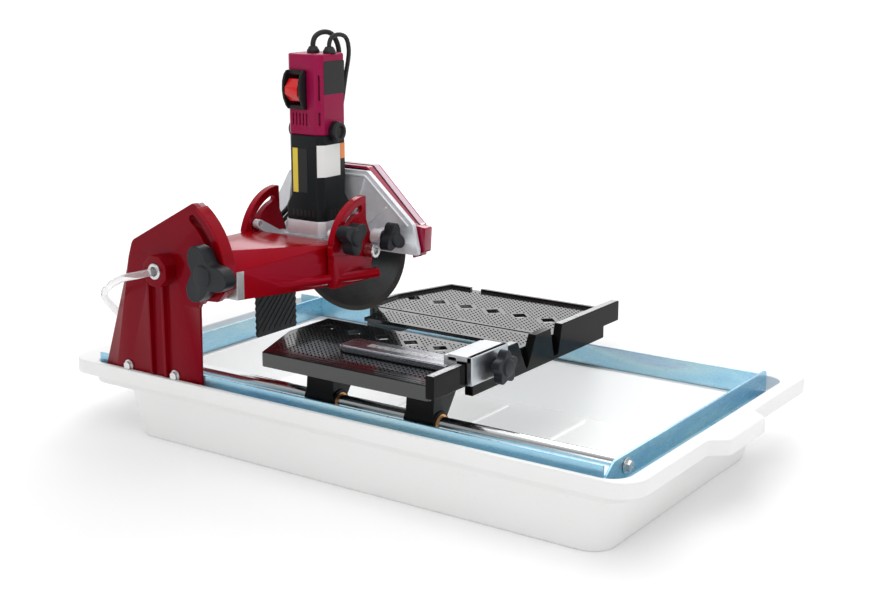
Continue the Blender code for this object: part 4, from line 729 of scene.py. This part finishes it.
def free(x, y, m):
    if y > 0.1955 - m or y < -0.2100 + m or x > 0.1475 - m or x < -0.1330 + m:
        return False
    if y > 0.104 and x < -0.1345 + (y - 0.104) * 0.30 + m:
        return False
    if y < -0.131 and x < -0.1345 + (-0.131 - y) * 0.39 + m:
        return False
    if -0.0190 < y < 0.040 and x < -0.1010 + m:
        return False
    if 0.0386 - 0.0035 - m < y < 0.0434 + 0.0035 + m or -0.0500 - 0.004 - m < y < -0.0180 + 0.004 + m:
        return False
    for hx, hy in holes:
        a, c = abs((x - hx) * D + (y - hy) * D), abs((x - hx) * D - (y - hy) * D)
        if a < 0.0083 + 0.002 + m and c < 0.0103 + 0.002 + m:
            return False
    return True


ux, uy = D, -D
L, Wd = 0.0040, 0.00115
for i in range(-48, 49):
    for j in range(-80, 81):
        s, t = i * 0.0110 + (0.0055 if j % 2 else 0.0), j * 0.0047
        x, y = s * ux + t * D, s * uy + t * D
        if not free(x, y, 0.0026):
            continue
        ring_ = [(L, 0), (L * 0.55, Wd), (-L * 0.55, Wd), (-L, 0), (-L * 0.55, -Wd), (L * 0.55, -Wd)]
        lo = [bm.verts.new(T(x + a * ux + c * D, y + a * uy + c * D, TOP - 0.0001)) for a, c in ring_]
        hi = [bm.verts.new(T(x + 0.62 * (a * ux + c * D), y + 0.62 * (a * uy + c * D), TOP + H)) for a, c in ring_]
        bm.faces.new(hi)
        for k in range(6):
            bm.faces.new((lo[k], lo[(k + 1) % 6], hi[(k + 1) % 6], hi[k]))
me = bpy.data.meshes.new("studs")
bm.to_mesh(me)
bm.free()
# dark stud colour: painted shade
me.materials.append(MAT["stud"])
o = bpy.data.objects.new("table_studs", me)
SCN.collection.objects.link(o)
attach(o, "table")
bm = b_box(-0.0930, 0.1490, -0.2290, -0.2262, 0.1499, 0.1508)
b_box(-0.0950, 0.1490, -0.2225, -0.2205, 0.1499, 0.1502, bm)
b_box(-0.0960, 0.1490, -0.2165, -0.2145, 0.1499, 0.1502, bm)
obj("table_near_beads", bm, "black", "table", 30, 0.0003, 2)

MAT["rule_y"] = rule_mat("rule_y_look", 1, 0.1 + SY)
MAT["rule_x"] = rule_mat("rule_x_look", 0, 0.1 + SX)
for i, (y0, y1) in enumerate(((-0.2350, -0.1760), (-0.0880, -0.0545), (0.0570, 0.2115))):
    obj("fence_rule_%d" % i, b_box(0.1555, 0.1648, y0, y1, 0.1649, 0.1652), "rule_y", "table", 30, 0.0001, 1)
refine("fence", "fence", 0.0010, 3)
for nm, mt, wd in (("carrier_rear", "black", 0.0012), ("carrier_front", "black", 0.0012), ("near_rail", "zinc", 0.0009),
                   ("far_rail", "zinc", 0.0009), ("front_cross", "zinc", 0.0009), ("rear_cross", "zinc", 0.0009)):
    refine(nm, mt, wd, 2)

# rip guide: satin bar with a rounded nose, rule and bracket
rg = metal("rip_guide_look", (0.46, 0.47, 0.52), 0.22, (0.3, 3, 3), 90.0, 0.02, 0.85)
MAT["rip"] = rg
pts = arc(-0.0130, -0.1535, 0.0195, 270, 90, 16)
pts = [(max(u, -0.0250), v) for u, v in pts] + [(0.1400, -0.1340), (0.1400, -0.1730)]
bar = obj("rip_guide_bar", b_plate(pts, "Z", 0.1504, 0.1598), "rip", "guide", 40, 0.0018, 3)
bm = b_box(0.1340, 0.1536, -0.1700, -0.0900, 0.1504, 0.1716)
b_box(0.1400, 0.1745, -0.1700, -0.0900, 0.1657, 0.1734, bm)
b_box(0.1666, 0.1747, -0.1700, -0.0900, 0.1382, 0.1734, bm)
MAT["bracket"] = metal("bracket_look", (0.55, 0.56, 0.58), 0.30, (1, 1, 1), 120.0, 0.02, 0.9)
brk = obj("rip_guide_bracket", bm, "bracket", "guide", 40, 0.0012, 3)
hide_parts("rip_guide")
obj("rip_guide_rule", b_box(0.0100, 0.1300, -0.1600, -0.1480, 0.1597, 0.15995), "rule_x", "guide", 30, 0.0001, 1)

# ------------------------------------------------------------------ motor trim
def wrap_label(name, path2, z0, z1, mat, t=0.00035):
    bm = bmesh.new()
    rows = []
    for i, (u, v_) in enumerate(path2):
        a = path2[max(i - 1, 0)]
        c = path2[min(i + 1, len(path2) - 1)]
        d = Vector((c[0] - a[0], c[1] - a[1])).normalized()
        nx, ny = d.y, -d.x
        rows.append([bm.verts.new(T(u + nx * k, v_ + ny * k, z)) for k, z in ((-0.0002, z0), (t, z0), (t, z1), (-0.0002, z1))])
    for a, c in zip(rows, rows[1:]):
        for k in range(4):
            bm.faces.new((a[k], a[(k + 1) % 4], c[(k + 1) % 4], c[k]))
    bm.faces.new(rows[0])
    bm.faces.new(list(reversed(rows[-1])))
    return obj(name, bm, mat, "head", 30)


MAT["label_white"] = plastic("label_white_look", (0.78, 0.78, 0.76), 0.32, 0.05, 400.0, 0.95, 0.5, 0.3)
MAT["black_label_and_vent_shade"] = plastic("label_black_look", (0.006, 0.006, 0.006), 0.30, 0.05, 400.0, 0.85, 0.25, 0.1)
MAT["label_yellow"] = plastic("label_yellow_look", (0.80, 0.62, 0.02), 0.32, 0.05, 400.0, 0.92, 0.5, 0.3)
MAT["label_orange"] = plastic("label_orange_look", (0.85, 0.24, 0.02), 0.32, 0.05, 400.0, 0.92, 0.5, 0.3)
XF, YF = MX + 0.030, MY - 0.030
wrap_label("label_panel", [(-0.1543, -0.0503), (XF, -0.0425), (XF, -0.0105)], 0.3420, 0.3850, "label_white")
wrap_label("label_strip_top", [(XF, -0.0100), (XF, -0.0005)], 0.3640, 0.3850, "label_orange")
wrap_label("label_strip_low", [(XF, -0.0100), (XF, -0.0005)], 0.3420, 0.3636, "black_label_and_vent_shade")
wrap_label("label_side_yellow", [(-0.1950, YF), (-0.1862, YF)], 0.3200, 0.3800, "label_yellow")
wrap_label("label_side_black", [(-0.1860, YF), (-0.1700, YF)], 0.3200, 0.3800, "black_label_and_vent_shade")
bm = b_plate(rrect(-0.0425, 0.0010, 0.4520, 0.4960, 0.0030), "X", XF - 0.0002, XF + 0.0003)
obj("label_upper", bm, "black_label_and_vent_shade", "head", 40)

side = [(-0.0519, 0.4320), (-0.0519, 0.4840), (-0.0575, 0.4838), (-0.0625, 0.4790), (-0.0660, 0.4700), (-0.0668, 0.4580),
        (-0.0650, 0.4470), (-0.0600, 0.4370), (-0.0555, 0.4322)]
bm = b_plate(side, "X", -0.1990, -0.1956)
b_plate(side, "X", -0.1714, -0.1680, bm)
b_box(-0.1958, -0.1712, -0.0560, -0.0519, 0.4322, 0.4380, bm)
b_box(-0.1958, -0.1712, -0.0560, -0.0519, 0.4780, 0.4838, bm)
hs = obj("switch_housing", bm, "black_satin", "head", 40, 0.0008, 3)
# lower vents and feet screws
bm = bmesh.new()
# painted shade: thin black strips stand in for the dark inside of the vent slots
for i in range(6):
    x = -0.1935 + i * 0.0068
    b_box(x, x + 0.0036, -0.05562, -0.0550, 0.2885, 0.2975, bm)
for i in range(5):
    y = -0.0385 + i * 0.0078
    b_box(-0.1428, -0.14238, y, y + 0.0040, 0.2885, 0.2975, bm)
obj("motor_lower_vent_shade_strips", bm, "black_label_and_vent_shade", "head", 30)
for nm, mt, wd in (("motor_lower", "slate", 0.0012), ("switch_paddle", "switch_red", 0.0009), ("gear_plate", "cast", 0.0008)):
    refine(nm, mt, wd, 3)
for i, (sx, sy) in enumerate(((-0.2020, -0.0470), (-0.1510, -0.0470), (-0.1450, -0.0120), (-0.1640, -0.0550))):
    bm = b_turn([(0, 0.0025), (0.0022, 0.0025), (0.0032, 0.0016), (0.0032, 0), (0, 0)], "Z",
                (max(-0.2035, min(-0.1495, sx)), max(-0.0485, sy), 0.2800), 20)
    obj("gear_plate_screw_%d" % i, bm, "bolt", "head", 40)

# ------------------------------------------------------------------ blade with a continuous rim
c0 = bc - SH
R_ = min(bl_hi.x - bl_lo.x, bl_hi.z - bl_lo.z) / 2
ya, yb = bl_lo.y - SY, bl_hi.y - SY
ym = (ya + yb) / 2
bm = b_turn([(0.0082, ym - 0.0007), (0.0082, ym + 0.0007), (0.0930, ym + 0.0007), (0.0936, yb), (R_ - 0.0004, yb), (R_, yb - 0.0004),
             (R_, ya + 0.0004), (R_ - 0.0004, ya), (0.0936, ya), (0.0930, ym - 0.0007)], "Y", (c0.x, 0, c0.z), 120, None, True)
bl = obj("blade_disc", bm, "blade", BODY_OF["blade"], 30)
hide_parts("blade")

# ------------------------------------------------------------------ guard trim: a pale band along the rim as a painted highlight, and its dark seam
def guard_outline(d):
    return [(-0.283 + d, 0.2322), (-0.283 + d, 0.2960 - d * 0.4)] + arc(-0.2735, 0.2970, 0.0095 - d * 0.3, 178, 150, 5)[1:] + [
        (-0.2645 + d * 0.8, 0.3320 - d * 0.7), (-0.2560 + d * 0.5, 0.3405 - d), (-0.2390, 0.350 - d * 1.05), (-0.1288 - d * 0.4, 0.350 - d),
        (-0.0532 - d * 0.75, 0.278 - d * 0.5), (-0.049 - d, 0.2754 - d * 0.4), (-0.049 - d, 0.2322)]


MAT["guard_seam"] = MAT["black_satin"]
outl = guard_outline(-0.0006)
inn = guard_outline(0.0016)
bm = bmesh.new()
for y0, y1 in ((0.0385, 0.0402),):
    A = [[bm.verts.new(T(u, y, v_)) for u, v_ in lp] for lp, y in ((outl, y0), (outl, y1), (inn, y1), (inn, y0))]
    for a, c in zip(A, A[1:] + A[:1]):
        for k in range(len(outl) - 1):
            bm.faces.new((a[k], a[k + 1], c[k + 1], c[k]))
obj("guard_seam", bm, "guard_seam", "head", 40)
# painted highlight: the pale pink colour of this band stands in for light catching the guard's rim
MAT["band"] = enamel("guard_band_look", (0.72, 0.50, 0.60), 0.10, 0.04, 0.9, 0.9, 0.6)
oA, oB = guard_outline(-0.0003), guard_outline(0.0010)
bm = bmesh.new()
A = [[bm.verts.new(T(u, y, v_)) for u, v_ in lp[1:-1]] for lp, y in ((oA, 0.0412), (oA, 0.0515), (oB, 0.0515), (oB, 0.0412))]
for a, c in zip(A, A[1:] + A[:1]):
    for k in range(len(a) - 1):
        bm.faces.new((a[k], a[k + 1], c[k + 1], c[k]))
obj("guard_rim_painted_highlight", bm, "band", "head", 40)
refine("guard_cover", "crimson", 0.0022, 4, 30)
refine("guard_inner", "cast", 0.0009, 2, 30)
bm = bmesh.new()
for (x0, z0), (x1, z1) in (((-0.2700, 0.2500), (-0.2560, 0.3290)), ((-0.2560, 0.3290), (-0.2330, 0.3385)), ((-0.2330, 0.3385), (-0.1260, 0.3385)),
                           ((-0.1260, 0.3385), (-0.0540, 0.2760)), ((-0.1400, 0.2600), (-0.0900, 0.2990)), ((-0.1500, 0.2760), (-0.1250, 0.3380)),
                           ((-0.2100, 0.2700), (-0.2300, 0.3380))):
    d = Vector((x1 - x0, z1 - z0)).normalized() * 1.0
    nx, nz = -d.y * 0.0014, d.x * 0.0014
    q = [(x0 + nx, z0 + nz), (x1 + nx, z1 + nz), (x1 - nx, z1 - nz), (x0 - nx, z0 - nz)]
    b_plate(q, "Y", 0.0160, 0.0186, bm)
obj("guard_ribs", bm, "cast", "head", 40, 0.0007, 2)

# ------------------------------------------------------------------ arm and post trim
bm = bmesh.new()
TYc, TZc = -0.014, 0.244
for x0, x1 in ((-0.1092, -0.0990), (-0.2630, -0.2528)):
    b_plate(band(TYc, TZc, 0.0722, 0.0752, 93, 166, 26), "X", x0, x1, bm)
obj("ear_bands", bm, "arm", "arm", 40, 0.0009, 3)
bm = bmesh.new()
b_plate(band(PX, PZ, 0.1015, 0.1056, -6, 55, 30), "Y", -0.2440, -0.2240, bm)
obj("post_arc_band", bm, "red", "root", 40, 0.0009, 3)
refine("post", "red_post_shaded", 0.0012, 3, 30)
arm_f = refine("tilt_arm", "arm", 0.0014, 3, 30)
for nm in ("plunge_knob", "tilt_knob", "guard_knob", "guide_knob"):
    refine(nm, "knob", 0.0016, 3, 35)
for nm in ("motor_upper",):
    refine(nm, "magenta", 0.0006, 2, 35)

# ------------------------------------------------------------------ splash flap with moulded diagonal ribs
bm = bmesh.new()
for i in range(13):
    y0 = -0.0760 + i * 0.0120
    a, c = max(y0, -0.0265), min(y0 + 0.0900, 0.0545)
    if c - a > 0.006:
        za, zc = 0.100 + (a - y0) * 1.05, 0.100 + (c - y0) * 1.05
        b_plate([(a, za), (a, za + 0.0022), (c, min(zc + 0.0022, 0.1850)), (c, min(zc, 0.1828))], "X", -0.2892, -0.2884, bm)
o = obj("splash_flap_ribs", bm, "rubber", None, 40)
fl = refine("splash_flap", "rubber", 0, 1, 30, 50, "free")
for o in (fl, bpy.data.objects["splash_flap_ribs"]):
    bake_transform(o)


# ------------------------------------------------------------------ floor, light, finish
floor_m = M("floor_look")
fn = floor_m.noise(6.0, 2.0)
floor_m.set(color=floor_m.mix(fn, (0.90, 0.90, 0.90), (0.93, 0.93, 0.93)), rough=0.85, spec=0.1,
            normal=floor_m.bump(floor_m.noise(300.0), 0.02, 0.0002))
# painted light: the floor glows (emission), dim next to the saw and brighter with distance, so the far floor reads
# white
floor_m.b.inputs["Emission Color"].default_value = (1.0, 1.0, 1.0, 1.0)
fx, fy, fz = floor_m.xyz()
far = floor_m.math("SQRT", floor_m.math("ADD", floor_m.math("MULTIPLY", fx, fx), floor_m.math("MULTIPLY", fy, fy)))
floor_glow_by_distance = floor_m.t.nodes.new("ShaderNodeMapRange")
floor_glow_by_distance.interpolation_type = "SMOOTHSTEP"
floor_glow_by_distance.inputs["From Min"].default_value = 0.45
floor_glow_by_distance.inputs["From Max"].default_value = 2.6
floor_glow_by_distance.inputs["To Min"].default_value = 0.10
floor_glow_by_distance.inputs["To Max"].default_value = 0.50
floor_m.t.links.new(far, floor_glow_by_distance.inputs["Value"])
floor_m.t.links.new(floor_glow_by_distance.outputs["Result"], floor_m.b.inputs["Emission Strength"])
bm = bmesh.new()
bmesh.ops.create_grid(bm, x_segments=2, y_segments=2, size=40.0)
fl_o = obj("floor", bm, floor_m.m, None)

world = bpy.data.worlds.new("studio")
SCN.world = world
world.use_nodes = True
wt = world.node_tree
wt.nodes.clear()
wo = wt.nodes.new("ShaderNodeOutputWorld")
bg = wt.nodes.new("ShaderNodeBackground")
tc = wt.nodes.new("ShaderNodeTexCoord")
dot = wt.nodes.new("ShaderNodeVectorMath")
dot.operation = "DOT_PRODUCT"
dot.inputs[1].default_value = (-0.565, 0.800, 0.20)      # towards the backdrop, away from the viewer
wt.links.new(tc.outputs["Generated"], dot.inputs[0])
mr = wt.nodes.new("ShaderNodeMapRange")
mr.interpolation_type = "SMOOTHSTEP"
mr.inputs["From Min"].default_value = -0.15
mr.inputs["From Max"].default_value = 0.62
mr.inputs["To Min"].default_value = 0.30
mr.inputs["To Max"].default_value = 1.0
wt.links.new(dot.outputs["Value"], mr.inputs["Value"])
bg.inputs[0].default_value = (1.0, 1.0, 1.0, 1.0)
wt.links.new(mr.outputs["Result"], bg.inputs[1])
wt.links.new(bg.outputs[0], wo.inputs[0])


def area(name, loc, target, size, power, size_y=None):
    d = bpy.data.lights.new(name, "AREA")
    d.energy = power
    d.shape = "RECTANGLE"
    d.size = size
    d.size_y = size_y or size
    o = bpy.data.objects.new(name, d)
    SCN.collection.objects.link(o)
    o.location = loc
    o.rotation_euler = (Vector(target) - Vector(loc)).to_track_quat("-Z", "Y").to_euler()
    return o


area("key", (0.6, -1.2, 2.2), (0, 0, 0.1), 1.6, 13.0, 1.2)
area("top", (0.1, 0.15, 2.1), (0, 0, 0), 1.6, 9.0, 1.4)
area("front", (-0.2, -2.9, 1.0), (0, 0, 0.12), 1.8, 9.0, 0.9)
area("side", (2.4, 0.1, 1.1), (0, 0, 0.15), 1.2, 8.0, 1.2)
area("back", (-0.9, 1.7, 1.6), (0, 0, 0.2), 1.6, 12.0, 1.0)
